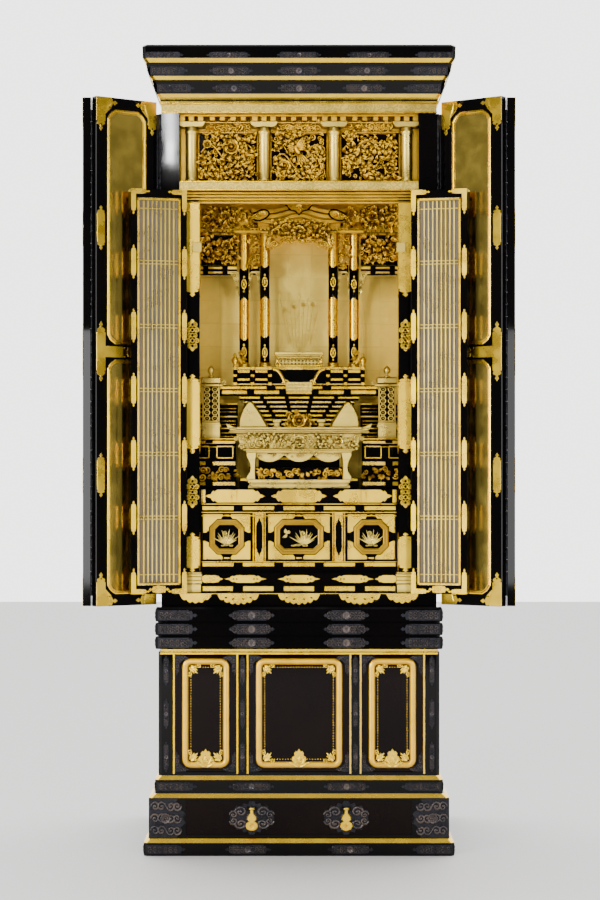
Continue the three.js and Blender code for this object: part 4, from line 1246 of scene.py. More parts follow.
class DOOR_OT_outer(bpy.types.Operator):
    """Gilded eight-sided fields, gilt fittings and dark outer fittings for the outer folding doors."""

    bl_idname = "altar.outer_doors"
    bl_label = "Outer doors"

    def execute(self, context):
        lift = context.scene.altar_sizes.relief
        stile, rail, gap, sunk = 25, 24, 15, 1.7
        strap_height = 267
        edge = stile - 3
        steps = [(0.6, 1.2), (2.0, 0.4), (1.0, -1.4), (1.6, -0.3), (0.6, 0.8), (1.6, 0.1), (0.8, -1.6)]
        corner = plate(corner_outline(52, 74, edge, 24, 15), lift, 0.35)
        strap = plate(strap_outline(edge - 3, 96, 18), lift, 0.35)
        hole = plate(diamond(4.4, 5), 0.5, 0.2)
        cross = plate(strap_outline(edge, 130, 26), lift, 0.35)
        arm = plate(lying(strap_outline(24, 84, 20)), lift + 0.2, 0.35)
        for side, _ in SIDES:
            for letter in "ab":
                outer, inner, half = leaf_faces("outer", side, letter)
                body = f"outer_{side}_{letter}"
                name = f"outer_door_{side}_{letter}"
                if letter == "b":
                    board = wide(half.x, (0, 2 * half.y - sunk), (-half.z, half.z), 1.0)
                    settle(f"{name}_board", placed([board], outer), "black_lacquer", body, replaces=(name,))
                    inner = inner @ at(0, sunk, 0)
                tall = (half.z - rail - gap) / 2
                rim, field = moulded_frame(soft_octagon(half.x - stile - 1, tall - 1, 20), steps)
                places = [inner @ at(0, 0.2, sz * (tall + gap)) for sz in (-1, 1)]
                settle(f"{name}_rims", [(rim, place) for place in places], "polished_gold", body)
                settle(f"{name}_fields", [(field, place) for place in places], "mirror_gold", body)
                line = half.x - edge / 2
                gilt = [(corner, at(-sx * half.x, 0, -sz * half.z) @ sized(sx, 1, sz)) for sx, sz in CORNERS]
                gilt += [(strap, at(sx * line, 0, sz * strap_height)) for sx, sz in CORNERS]
                holes = [(hole, at(sx * line, -lift, sz * (half.z - 60))) for sx, sz in CORNERS]
                for sx in (-1, 1):
                    gilt.append((cross, at(sx * line, 0, 0)))
                    gilt.append((arm, at(sx * (half.x - 42), 0, 0)))
                settle(f"{name}_fitting_holes", placed(holes, inner), "black_lacquer", body)
                settle(f"{name}_gilt_fittings", placed(gilt, inner), "gilt_metal", body)
                dark = placed(stile_fittings(half, stile - 4, 3, 80, lift), outer @ at(0, lift - 0.1, 0))
                settle(f"{name}_dark_fittings", dark, "dark_metal", body)
        return {"FINISHED"}


class DOOR_OT_hinges(bpy.types.Operator):
    """Long hinges of the outer doors: a knuckled barrel on each pin line and the strap on the leaf."""

    bl_idname = "altar.hinges"
    bl_label = "Door hinges"

    def execute(self, context):
        joints = {joint["name"]: joint for joint in frame["joints"]}
        low, high = 560, 1612
        pitch = 26.3
        for side, sign in SIDES:
            for joint, radius, body in (("hinge", 4.2, "root"), ("fold", 1.9, f"outer_{side}_a")):
                x, y, _ = Vector(joints[f"outer_{side}_{joint}"]["pos_m"]) / MM
                profile = [(0, low)]
                for k in range(int((high - low) / pitch)):
                    z = low + k * pitch
                    profile += [(radius, z), (radius, z + pitch - 1.2), (radius - 0.7, z + pitch - 0.8),
                                (radius - 0.7, z + pitch - 0.4)]
                profile.append((0, high))
                settle(f"outer_{joint}_barrel_{side}", [(turned(tuple(profile), 12), at(x, y, 0))],
                       "dark_metal", body)
            strap = [side_block(sign, (301.5, 305.4), (-233, -226), (low, high)),
                     side_block(sign, (299.9, 305.4), (-238, -232), (low, high))]
            settle(f"outer_hinge_strap_{side}", placed(strap, opened("outer", side, "a")), "dark_metal",
                   f"outer_{side}_a")
        return {"FINISHED"}


class DOOR_OT_inner(bpy.types.Operator):
    """Gilt lattice, gauze, gilt frame and fittings for the inner folding doors."""

    bl_idname = "altar.inner_doors"
    bl_label = "Inner doors"

    def execute(self, context):
        sizes = context.scene.altar_sizes
        stile, rail, gilt_edge, reveal = 13, 18, 6, 5.5
        pitch, shift, pair = 138, 3.5, 3.4
        curls = 25
        edge_width = stile - 2
        corner = plate(corner_outline(42, 56, edge_width, 16), sizes.relief, 0.3)
        strap = plate(strap_outline(edge_width, 74, 14), sizes.relief, 0.3)
        foot = plate(lying(strap_outline(16, 46, 16)), sizes.relief, 0.3)
        for side, _ in SIDES:
            for letter in "ab":
                node = f"inner_door_{side}_{letter}"
                outer, inner, half = leaf_faces("inner", side, letter)
                body = f"inner_{side}_{letter}"
                width, tall, thick = half.x - stile, half.z - rail, 2 * half.y
                stiles = [block((-half.x, -width + 1), (0, thick), (-half.z, half.z), 1.0),
                          block((width - 1, half.x), (0, thick), (-half.z, half.z), 1.0),
                          wide(width, (0, thick), (-half.z, -tall + 1), 1.0),
                          wide(width, (0, thick), (tall - 1, half.z), 1.0)]
                settle(f"{node}_frame", placed(stiles, outer), "black_lacquer", body, replaces=(node,))
                cloth = wide(width, (reveal + 1, thick - reveal - 1), (-tall, tall), 0.4)
                settle(f"{node}_gauze", placed([cloth], outer), "gauze", body)
                depth = (0.6, reveal + 1)
                clear, clear_z = width - gilt_edge, tall - gilt_edge
                edge = [block((-width, -clear), depth, (-tall, tall), 1.2),
                        block((clear, width), depth, (-tall, tall), 1.2),
                        wide(width, depth, (-tall, -clear_z), 1.2), wide(width, depth, (clear_z, tall), 1.2)]
                upright = bar(4.4, 3.4, 2 * clear_z, 1.2)
                thin = bar(2 * clear, 3.6, 2.2, 0.6)
                count = sizes.lattice_bars
                bars = [(upright, clear * (2 * (i + 1) / (count + 1) - 1), 0) for i in range(count)]
                bars += [(thin, 0, shift + k * pitch + dz) for k in range(-2, 3) for dz in (-pair, pair)]
                bars += [(thin, 0, sz * (clear_z - 18)) for sz in (-1, 1)]
                bars = [(form, at(x, reveal + 0.6, z)) for form, x, z in bars]
                chance = random.Random(sizes.carving_seed + len(node))
                scrolls = []
                for i in range(curls):
                    z = (tall - 24) * (2 * i / (curls - 1) - 1)
                    spot = at(clear * 0.5 * math.sin(i * 1.9), reveal + 2.2, z)
                    turn = spun(chance.uniform(0, math.tau))
                    scrolls.append((curl(), spot @ turn @ sized(chance.choice((-1, 1)) * 15, 1.2, 15)))
                fittings = [(corner, at(-sx * half.x, 0, -sz * half.z) @ sized(sx, 1, sz))
                            for sx, sz in CORNERS]
                fittings += [(strap, at(sx * (half.x - edge_width / 2), 0, shift + k * pitch))
                             for sx in (-1, 1) for k in range(-2, 3)]
                fittings.append((foot, at(0, 0, 10 - half.z)))
                for face, number in ((outer, "front"), (inner, "back")):
                    for label, forms, material in (("gilt_frame", edge, "polished_gold"),
                                                   ("lattice", bars, "gold_leaf"),
                                                   ("scrolls", scrolls, "gold_field"),
                                                   ("fittings", fittings, "gilt_metal")):
                        settle(f"{node}_{number}_{label}", placed(forms, face), material, body)
        return {"FINISHED"}


# Transom


def boat_arm(width, height, depth):
    """A bracket arm with a flat middle and round, lifted ends."""
    points = [(-width / 2, height)]
    for i in range(7):
        angle = math.pi + i / 6 * QUARTER
        points.append((-width / 2 + height * (1 + math.cos(angle)), height * (1 + math.sin(angle)) * 0.95))
    right = [(-x, z) for x, z in reversed(points)]
    return plate([(x, z) for x, z in points + right], depth, 0.8)


class TRANSOM_OT_carving(bpy.types.Operator):
    """Turned columns, boat-shaped brackets, pierced carved panels and gilded beams over the doorway."""

    bl_idname = "altar.transom"
    bl_label = "Carved transom"

    def execute(self, context):
        seed = context.scene.altar_sizes.carving_seed
        low, high = extent("ranma_column_1")
        radius = (high.x - low.x) / 2
        profile = ((0, low.z), (radius, low.z), (radius, low.z + 4), (radius - 1.4, low.z + 6),
                   (radius - 2, low.z + 9), (radius - 2, high.z - 16), (radius - 1.2, high.z - 14),
                   (radius, high.z - 11),
                   (radius, high.z - 8), (radius - 3, high.z - 5), (radius, high.z - 0.5), (0, high.z - 0.5))
        column = turned(profile)
        nodes = [f"ranma_column_{i}" for i in range(1, 5)]
        places = []
        for name in nodes:
            a, b = extent(name)
            places.append(at((a.x + b.x) / 2, (a.y + b.y) / 2, 0))
        settle("transom_columns", [(column, place) for place in places], "gold_leaf", replaces=nodes)
        for number, name in enumerate(("left", "centre", "right")):
            node = f"ranma_panel_{name}"
            a, b = extent(node)
            width, height = b.x - a.x, b.z - a.z
            middle = ((a.x + b.x) / 2, (a.z + b.z) / 2)
            ground = b.y - 3
            flip = -1 if number else 1
            rails = [block((a.x, b.x), (a.y + 4, b.y), (a.z, a.z + 3), 1.0),
                     block((a.x, b.x), (a.y + 4, b.y), (b.z - 3, b.z), 1.0)]
            settle(f"{node}_rails", rails, "deep_gold", replaces=(node,))
            ground_board = block((a.x, b.x), (b.y - 1.5, b.y), (a.z + 2, b.z - 2), 0.4)
            settle(f"{node}_ground", [ground_board], "brown_lacquer")
            inner_x, inner_z = (a.x + 5, b.x - 5), (a.z + 6, b.z - 7)
            copies = foliage(inner_x, ground - 1, inner_z, 16, 13, seed + number)
            copies += foliage(inner_x, ground - 6, inner_z, 13, 9, seed + 10 + number)
            kinds = (curl, cloud, curl, petal)
            copies += thicket(inner_x, ground, inner_z, 11, 48, seed + 14 + number, kinds)
            copies.append(wave(a.x + 4, b.x - 4, middle[1] + 10 * flip, 18, 1.5, ground - 4, 2.0))
            copies.append(wave(a.x + 4, b.x - 4, middle[1] - 16 * flip, 14, 2, ground - 5, 1.8))
            if name == "centre":
                flowers = ((-0.30, 0.10, 17), (0.27, -0.18, 15), (0.36, 0.24, 11), (-0.12, -0.28, 12),
                           (-0.4, -0.2, 9))
            else:
                flowers = ((-0.34, -0.22, 13), (0.06, 0.20, 18), (0.34, -0.06, 13), (-0.36, 0.26, 10),
                           (0.10, -0.32, 10))
            for fx, fz, size in flowers:
                spot = at(middle[0] + fx * flip * width, ground - 5, middle[1] + fz * height)
                copies.append((blossom(), spot @ sized(size, size * 0.75, size)))
            if name == "centre":
                spot = at(middle[0] - 0.04 * width, ground - 6, middle[1] + 0.14 * height)
                copies.append((bird(), spot @ sized(-30, 22, 30)))
            settle(f"{node}_carving", copies, "carved_gold")
            arch = thicket((a.x + 16, b.x - 16), ground - 5, (b.z - 2, b.z + 20), 13, 34, seed + 20 + number,
                           (curl, cloud, leaf))
            arch.append((cloud(), at(middle[0], ground - 6, b.z + 12) @ sized(20, 12, 15)))
            arch.append(block((a.x + 6, b.x - 6), (ground - 7, ground), (b.z - 5, b.z - 2), 0.8))
            settle(f"transom_cloud_{name}", arch, "carved_gold")
        self.brackets([place.translation.x for place in places])
        self.beams()
        a, b = extent("ranma_panel_left")
        board = wide(262, (b.y + 0.5, b.y + 3), (a.z, low.z + 119), 0.4)
        settle("transom_ground", [board], "deep_gold")
        return {"FINISHED"}

    def brackets(self, columns):
        low, high = extent("ranma_bracket_row")
        back = high.y
        arm = boat_arm(60, 12, 24)
        copies = []
        blocks = []
        for x in columns:
            copies.append((arm, at(x, back, low.z)))
            for step in (-20, 0, 20):
                blocks.append(block(about(x + step, 6.5), (low.y, back), (low.z + 12, high.z - 4), 1.2))
        gaps = [(columns[i] + columns[i + 1]) / 2 for i in range(3)]
        for x in gaps:
            for step in (-34, -12, 12, 34):
                blocks.append(block(about(x + step, 6), (low.y + 4, back), (low.z + 14, high.z - 4), 1.2))
        purlins = [block((low.x, high.x), (low.y + 1, back), (high.z - 5, high.z), 0.8),
                   block((low.x, high.x), (low.y + 8, back), (low.z + 9, low.z + 12), 0.6)]
        settle("transom_bracket_arms", copies, "gold_leaf", replaces=("ranma_bracket_row",))
        settle("transom_bracket_blocks", blocks + purlins, "deep_gold")

    def beams(self):
        low, high = extent("transom_beam")
        rail = [block((low.x, high.x), (low.y - 2, low.y), (high.z - 3.5, high.z), 1.0),
                block((low.x, high.x), (low.y - 2, low.y), (low.z, low.z + 3.5), 1.0)]
        settle("transom_beam_rails", rail, "polished_gold")
        low, high = extent("head_moulding")
        rise, reach = 6.3, 4.5
        steps = [block((low.x, high.x), (low.y + 13 - reach * i, high.y),
                       (low.z + rise * i, low.z + rise * (i + 1)), 1.8) for i in range(4)]
        settle("doorway_head_moulding", steps, "deep_gold", replaces=("head_moulding",))


# Doorway posts and the gilded inside


@functools.lru_cache(None)
def loop():
    """A round ring about two units across, lying against the face behind it."""
    obj = begin("torus", major_radius=0.8, minor_radius=0.2, major_segments=14, minor_segments=6,
                rotation=(QUARTER, 0, 0))
    bpy.ops.object.transform_apply(location=True, rotation=True, scale=True)
    return taken(obj, smooth=True)


def lace(width, height):
    """An openwork fitting: a chain of rings between facing curls, with a point above and below."""
    copies = []
    rows = max(2, round(height / (width * 0.46)))
    pitch = height / (rows + 1)
    for i in range(rows):
        z = height * ((i + 0.5) / rows - 0.5) * 0.86
        reach = width * (0.5 if i % 2 else 0.36)
        copies.append((loop(), at(0, -0.6, z) @ sized(width * 0.17, 2.4, pitch * 0.46)))
        for sx in (-1, 1):
            place = at(sx * reach * 0.66, -0.6, z)
            copies.append((loop(), place @ sized(reach * 0.42, 2.4, pitch * 0.52)))
            copies.append((curl(), place @ sized(sx * reach * 0.6, 4, pitch * 0.7)))
    for sz in (-1, 1):
        copies.append((leaf(), at(0, -0.4, sz * height * 0.40) @ spun(0 if sz > 0 else math.pi) @
                       sized(width * 0.7, 4, height * 0.12)))
    return copies


class DOORWAY_OT_posts(bpy.types.Operator):
    """Gilt sleeves and openwork on the inner posts, gilded linings and the back panel's low flowers."""

    bl_idname = "altar.doorway"
    bl_label = "Doorway"

    def execute(self, context):
        lift = context.scene.altar_sizes.relief
        top = extent("head_moulding")[0].z
        sleeves, lacework, linings, bases = [], [], [], []
        for side, sign in SIDES:
            node = f"inner_post_{side}"
            low = extent(node)[0]
            inner, outer = 218.4, 249.5
            front = low.y + 2
            middle = sign * (inner + outer) / 2
            width = outer - inner
            zones = ((1212, top, 20), (868, 1043, 20), (608, 695, 16))
            for z0, z1, reach in zones:
                tall = z1 - z0
                outline = strap_outline(width, tall, reach)
                if z1 == top:
                    outline = [(-width / 2, tall / 2), (width / 2, tall / 2)]
                    outline += [(x, reach - tall / 2 - z) for x, z in end_points(width / 2, reach)]
                sleeves.append((plate(outline, lift, 0.35), at(middle, front, (z0 + z1) / 2)))
                inside = at(sign * inner, front + 15, (z0 + z1) / 2) @ spun(-sign * QUARTER, "Z")
                sleeves.append((plate(strap_outline(27, tall, reach), lift, 0.35), inside))
            for z0, z1 in ((1094, 1162), (750, 818)):
                lacework += placed(lace(width * 0.9, z1 - z0), at(middle, front, (z0 + z1) / 2))
            for reach, z0, z1 in ((0.8, 582.5, 590), (0.2, 590, 598), (0.9, 598, 604), (0, 604, 608)):
                x = (inner - 4 - 2 * reach, outer)
                bases.append(side_block(sign, x, (low.y - reach, low.y + 30), (z0, z1), 1.0))
            bases.append(side_block(sign, (inner - 4, outer), (low.y - 0.4, low.y + 30), (low.z, 582), 1.0))
            linings.append(skin(node, lambda centre, normal, s=sign: normal.x * s < -0.9 and centre.y > -184))
            linings.append(side_block(sign, (inner - 5, inner + 16), (front - 3.2, front), (1310, 1332), 1.2))
        settle("post_gilt_sleeves", sleeves, "gilt_metal")
        settle("post_openwork", lacework, "gilt_metal")
        settle("post_bases", bases, "gold_leaf")
        settle("altar_side_gilding", linings, "gold_field")
        self.flowers()
        return {"FINISHED"}

    def flowers(self):
        """Very low relief of flowers and leaves in the gilding of the back panel."""
        face = extent("gold_back_panel")[0].y
        copies = []
        for i in range(9):
            x = (i - 4) * 11.5
            top = 1262 - 34 * abs(math.sin(i * 1.7)) - 3 * abs(i - 4)
            foot = 1118 + 4 * abs(i - 4)
            stem = [(x * (0.55 + 0.45 * k / 6), face - 0.2, foot + (top - foot) * k / 6) for k in range(7)]
            copies.append((tube(stem, 0.5), HERE))
            bloom = blossom(2) if i % 2 else spray()
            copies.append((bloom, at(x, face + 0.4, top) @ sized(9, 2.2, 9 if i % 2 else 16)))
            for k in (2, 4):
                px, _, pz = stem[k]
                turn = spun(0.9 if (i + k) % 3 else -0.9)
                copies.append((leaf(), at(px, face + 0.3, pz) @ turn @ sized(11, 2, 15)))
        settle("back_panel_flowers", copies, "gold_field")


# Lower altar


def dashes(x0, x1, parts, y, z, gap=14, bevel=0.8):
    """A beam sheathed in gilt lengths with black showing between them."""
    length = (x1 - x0 + gap) / parts
    return [block((x0 + i * length, x0 + (i + 1) * length - gap), y, z, bevel) for i in range(parts)]


def lozenge_mount(width, height, lift):
    """A long gilt mount with cusped ends."""
    return plate(lying(strap_outline(height, width, width * 0.30, CUSP_PROFILE)), lift, 0.3)


class ALTAR_OT_lower(bpy.types.Operator):
    """Beams, posts, eight-sided panels, sill and scalloped floor fittings of the lower altar."""

    bl_idname = "altar.lower_altar"
    bl_label = "Lower altar"

    def execute(self, context):
        lift = context.scene.altar_sizes.relief
        shelf_low, shelf_high = extent("altar_shelf_board")
        face = shelf_low.y
        gilt = []
        beam = (shelf_low.z + 1.5, shelf_high.z - 2)
        tall = beam[1] - beam[0]
        for x, width in ((0, 124), (-141, 132), (141, 132)):
            outline = lying(strap_outline(tall, width, 26, CUSP_PROFILE))
            gilt.append((plate(outline, lift + 0.4, 0.4), at(x, face, (beam[0] + beam[1]) / 2)))
        for sign in (-1, 1):
            gilt.append(side_block(sign, (207, 217), about(face, 1), beam))
            gilt.append(side_block(sign, (137, 149), (face - 3, face), beam, 1.2))
        front = face - 5
        sheathed = (742.8, 618)
        lines = (756.8, 738.5, 731, 629, 612)
        for z in sheathed:
            gilt += dashes(-214, 214, 5, about(front, 1), (z + 0.6, z + 9.4), 20)
        for z in lines:
            gilt.append(wide(216, (front + 1.5, front + 5), about(z, 1.2), 0.5))
        settle("altar_gilt_beams", gilt, "gilt_metal")
        self.posts(face, lift)
        self.panels(face)
        self.sill(lift)
        return {"FINISHED"}

    def posts(self, face, lift):
        """Gilt posts with a long black diamond between the panels, and gilt strips beside them."""
        copies, strips = [], []
        z = (630, 738)
        for x in (-88, 88):
            strips.append(block(about(x, 10), (face - 3.5, face + 2), z, 1.0))
            strips += [block(about(x + dx, 1.6), (face - 5, face), z, 0.8) for dx in (-13, 13)]
            copies.append((plate(strap_outline(14, 86, 18, CUSP_PROFILE), lift, 0.3), at(x, face - 3.5, 684)))
        settle("altar_post_strips", strips, "polished_gold")
        settle("altar_post_diamonds", copies, "black_lacquer")

    def panels(self, face):
        """Gilt corner plates round an eight-sided moulded window with a pale flower in relief."""
        for name in ("left", "centre", "right"):
            node = f"altar_panel_{name}"
            low, high = extent(node)
            cx, cz = (low.x + high.x) / 2, (low.z + high.z) / 2
            half_x, half_z = (high.x - low.x) / 2, (high.z - low.z) / 2
            board = block((low.x, high.x), (face + 4, high.y), (low.z, high.z), 0.6)
            settle(f"{node}_board", [board], "black_lacquer", replaces=(node,))
            window_x, window_z = (54 if name == "centre" else 38), 38
            cut, gap = 16, 2.6
            left, top = half_x - window_x, half_z - window_z
            corner = [(0, 0), (half_x - 10, 0), (half_x - 10, 5), (half_x - 14, top - gap),
                      (left + cut, top - gap), (left - gap, top + cut), (left - gap, half_z - 14),
                      (5, half_z - 10), (0, half_z - 10)]
            quarter = plate(corner, 1.4, 0.4)
            front = at(cx, face + 4, cz)
            plates = [(quarter, front @ at(-sx * (half_x - 1), 0, -sz * (half_z - 1)) @ sized(sx, 1, sz))
                      for sx, sz in CORNERS]
            tab = plate(octagon(-7, 7, -2, 2, 1.8), 1.6, 0.4)
            plates += [(tab, front @ at(0, 0, sz * (half_z - 4))) for sz in (-1, 1)]
            settle(f"{node}_gilt_corners", plates, "gilt_metal")
            outline = octagon(-window_x, window_x, -window_z, window_z, 17)
            steps = [(0.4, 2.6), (2.6, 0.5), (0.5, -1.4), (2.6, -0.5), (0.6, 0.9), (2.0, 0.2), (1.0, -1.4),
                     (2.0, -0.6)]
            rim, field = moulded_frame(outline, steps)
            place = at(cx, face + 3.2, cz)
            settle(f"{node}_window_rim", [(rim, place)], "olive_gold")
            settle(f"{node}_window_field", [(field, place)], "black_lacquer")
            flower_x = 12 if name == "centre" else 0
            copies = [(blossom(2), place @ at(flower_x - 4, -1.0, 8) @ sized(5, 3, 5)),
                      (blossom(2), place @ at(flower_x + 7, -1.0, 1) @ sized(3.6, 3, 3.6))]
            for i in range(15):
                root = place @ at(flower_x + (i - 7) * 0.5, -0.6, -17) @ spun((i - 7) * 0.15)
                copies.append((leaf(), root @ sized(4.0, 2.4, 27 + 8 * math.cos(i * 2.4))))
            copies.append((cloud(), place @ at(0, -0.6, -19) @ sized(window_x * 0.34, 3, 5)))
            if name == "centre":
                copies.append((bird(), place @ at(-26, -1.2, 9) @ sized(10, 4, 10)))
            settle(f"{node}_inlay", copies, "gold_leaf")

    def sill(self, lift):
        """Lozenge mounts on the black sill, a gilt rail under it and scalloped fittings below."""
        face = extent("altar_front_frame")[0].y
        mount_z = 592.5
        thirds = (-118, 0, 118)
        mount, half_mount = lozenge_mount(94, 17, lift + 0.3), lozenge_mount(60, 17, lift + 0.3)
        copies = [(mount, at(x, face + 7, mount_z)) for x in thirds]
        copies += [(half_mount, at(sx * 196, face + 7, mount_z)) for sx in (-1, 1)]
        copies += dashes(-212, 212, 5, (face - 1.2, face + 1), (566, 577), 22)
        floor_low, floor_high = extent("case_floor")
        board = floor_low.y
        skirt = plate(scalloped(92, 25), lift + 0.3, 0.35)
        half_skirt = plate(scalloped(70, 22, 5), lift + 0.3, 0.35)
        top = floor_high.z - 0.6
        skirts = (-133, 0, 133)
        copies += [(skirt, at(x, board, top)) for x in skirts]
        copies += [(half_skirt, at(sx * 226, board, top)) for sx in (-1, 1)]
        settle("floor_scalloped_fittings", copies, "gilt_metal")
        eye = plate(oval(6, 3.2, 10), 0.5, 0.15)
        eyes = [(eye, at(x + sx * aside, board - lift - 0.2, top - drop) @ spun(sx * turn))
                for aside, drop, turn in ((11, 12, 0.25), (27, 9, 0.4)) for x in skirts for sx in (-1, 1)]
        hole = plate(oval(3.4, 3.4, 8), 0.5, 0.15)
        eyes += [(hole, at(x + dx, face + 7 - lift - 0.3, mount_z))
                 for x in thirds for dx in (-26, -19, 19, 26)]
        settle("floor_fitting_eyes", eyes, "black_lacquer")
        lines = [wide(262, (board - 0.8, board + 0.6), (top - 1.2, top + 0.8), 0.4)]
        settle("floor_edge_line", lines, "polished_gold")


# Palace


DAIS_WAIST = 932
DAIS_FLOOR = 1001
PLATFORM = 1025
PLATFORM_TOP = 1069


class PALACE_OT_dais(bpy.types.Operator):
    """Stepped dais with gilt courses, its railing, hand rails and carving, and the small stand."""

    bl_idname = "altar.dais"
    bl_label = "Dais"

    def execute(self, context):
        seed = context.scene.altar_sizes.carving_seed
        low, high = extent("altar_dais")
        back = high.y
        upper, lower = 7, 4
        black, gold_courses = [], []
        tall = (DAIS_FLOOR - DAIS_WAIST) / upper
        for i in range(upper):
            t = i / (upper - 1)
            half, front = 72 + 64 * t, 30 - 58 * t
            z = DAIS_WAIST + tall * i
            band = (z + tall * 0.42, z + tall - 0.8)
            black.append(wide(half, (front, back), (z, z + tall)))
            gold_courses += dashes(-half, half, 5, (front - 1.6, front + 1), band, 9)
            gold_courses += [side_block(sign, (half - 1, half + 1.6), (front, back - 60), band)
                             for sign in (-1, 1)]
        black.append(wide(66, (36, back), (886, DAIS_WAIST + 1), 0.8))
        tall = 24.3
        for i in range(lower):
            t = i / (lower - 1)
            half, front = 136 - 64 * t, -26 + 56 * t
            z0, z1 = low.z + tall * i, low.z + tall * (i + 1)
            black.append(wide(half, (front, back), (z0, z1), 0.8))
            gold_courses.append(wide(half - 2, (front - 1.5, front + 1), (z0 + 16, z1 - 2)))
        black.append(wide(182, (-36, back), (DAIS_FLOOR, PLATFORM + 0.5), 1.0))
        black.append(wide(151, (-10, back), (PLATFORM, PLATFORM_TOP + 0.5), 1.0))
        settle("dais_courses", black, "black_lacquer", replaces=("altar_dais",))
        gold_courses += dashes(-176, 176, 5, (-37.6, -34), (DAIS_FLOOR + 4, DAIS_FLOOR + 13), 16, 2.0)
        gold_courses += dashes(-180, 180, 3, (-37, -34), (DAIS_FLOOR + 16, PLATFORM - 1.5), 20, 1.0)
        gold_courses.append(wide(150, (-11.5, -9), (PLATFORM_TOP - 7, PLATFORM_TOP), 1.0))
        gold_courses.append(wide(150, (-11.5, -9), (PLATFORM + 2, PLATFORM + 6), 0.8))
        settle("dais_gilt_courses", gold_courses, "polished_gold")
        self.waist(seed)
        self.railing()
        self.stand()
        return {"FINISHED"}

    def waist(self, seed):
        """Carved blossoms in the waist, square legs beside them and a smooth gilded hill on either side."""
        copies = thicket((-28, 28), 0, (930, 962), 15, 20, seed + 40, (leaf, curl, spray, petal))
        copies.append((blossom(), at(0, -4, 946) @ sized(17, 12, 17)))
        copies += [(blossom(), at(x, -2, 938) @ sized(10, 8, 10)) for x in (-19, 19)]
        settle("dais_waist_carving", copies, "carved_gold")
        legs = mirrored([block((44, 58), (2, 22), (900, 950), 1.5),
                         block((41, 61), (-1, 22), (942, 950), 1.2),
                         block((41, 61), (-1, 22), (928, 933), 1.2)])
        settle("dais_waist_legs", legs, "gold_leaf")
        hill = [(68, 0), (139, 0), (139, 12), (137, 24), (133, 36), (128, 47), (122, 56), (117, 61),
                (112, 63), (107, 61), (102, 56), (97, 49), (91, 40), (84, 29), (76, 16)]
        settle("dais_side_hills", mirrored([(plate(hill, 9, 4), at(0, -20, 928))]), "gold_leaf")

    def railing(self):
        """Black and gilt posts and rails, finials at the corners and curved hand rails beside the stand."""
        gold_part, black = [], []
        face = -27
        rails = ((1055, 1060), (1037, 1041))
        profile = ((0, 0), (5, 0), (5, 3), (3, 5), (7, 10), (8, 15), (5, 20), (2, 22), (4, 26), (0, 31))
        finial = turned(profile, 20)
        for sign in (-1, 1):
            for x in (66, 106, 146):
                black.append(side_block(sign, about(x, 3.6), about(face, 4), (PLATFORM, PLATFORM_TOP - 3)))
                for z in ((PLATFORM + 0.5, 1033), (1045, 1051), (1061, PLATFORM_TOP)):
                    gold_part.append(side_block(sign, about(x, 4.3), about(face, 4.8), z, 0.8))
            for z0, z1 in rails:
                black.append(side_block(sign, (62, 150), about(face, 2.4), (z0, z1), 0.5))
                black.append(side_block(sign, (146, 150), (face, 60), (z0, z1), 0.5))
                sheath = (z0 - 0.6, z1 + 0.6)
                gold_part += [side_block(sign, (x, x + 28), about(face, 3.2), sheath) for x in (72, 112)]
            gold_part.append((finial, at(sign * 146, face, PLATFORM_TOP)))
            rail = [(sign * (58 - 26 * t), face - 4 - 5 * t, 1062 - 30 * t + 8 * math.sin(t * math.pi))
                    for t in (k / 10 for k in range(11))]
            gold_part.append((tube(rail, 4.2), HERE))
            gold_part.append((curl(), at(sign * 31, face - 9, 1030) @ sized(sign * 15, 12, 15)))
        rise = 7
        steps = [wide(30, (-44 - 4 * i, -30), (1026 - rise * i, 1033 - rise * i), 0.8) for i in range(3)]
        settle("dais_railing_gilt", gold_part, "polished_gold")
        settle("dais_railing_black", black, "black_lacquer")
        settle("dais_steps", steps, "engraved_gold")

    def stand(self):
        """The small moulded stand in the middle bay, with pierced openings and a scalloped foot."""
        low, high = extent("small_stand")
        cy = (low.y + high.y) / 2
        layers = ((54, 33, 0, 5), (48, 28, 5, 17), (50, 29, 17, 20), (52, 31, 20, 24), (54.5, 33, 24, 28),
                  (56.5, 35, 28, high.z - low.z))
        copies = [wide(half, (cy - deep, cy + deep), (low.z + z0, low.z + z1), 1.0)
                  for half, deep, z0, z1 in layers]
        settle("stand_body", copies, "gold_leaf", replaces=("small_stand",))
        hole = plate(oval(4.6, 3.0, 10), 0.5, 0.2)
        holes = [(hole, at(x * 8.2, cy - 28, low.z + z)) for x in range(-5, 6) for z in (8, 14)]
        settle("stand_piercings", holes, "black_lacquer")
        front = cy - 33
        foot = [(plate(scalloped(104, 9, 5), 2.0, 0.5), at(0, front, low.z + 5))]
        for sign in (-1, 1):
            foot.append((curl(), at(sign * 50, front, low.z + 4) @ sized(sign * 13, 7, 12)))
            foot.append((curl(), at(sign * 53, front, low.z + 27) @ sized(sign * 9, 6, -8)))
            foot.append((leaf(), at(sign * 47, front + 3, low.z + 6) @ spun(sign * 0.4) @ sized(10, 6, 16)))
        foot += [(bud(), at(x * 9.4, cy - 29.5, low.z + 18.6) @ sized(2.2)) for x in range(-5, 6)]
        settle("stand_carving", foot, "polished_gold")


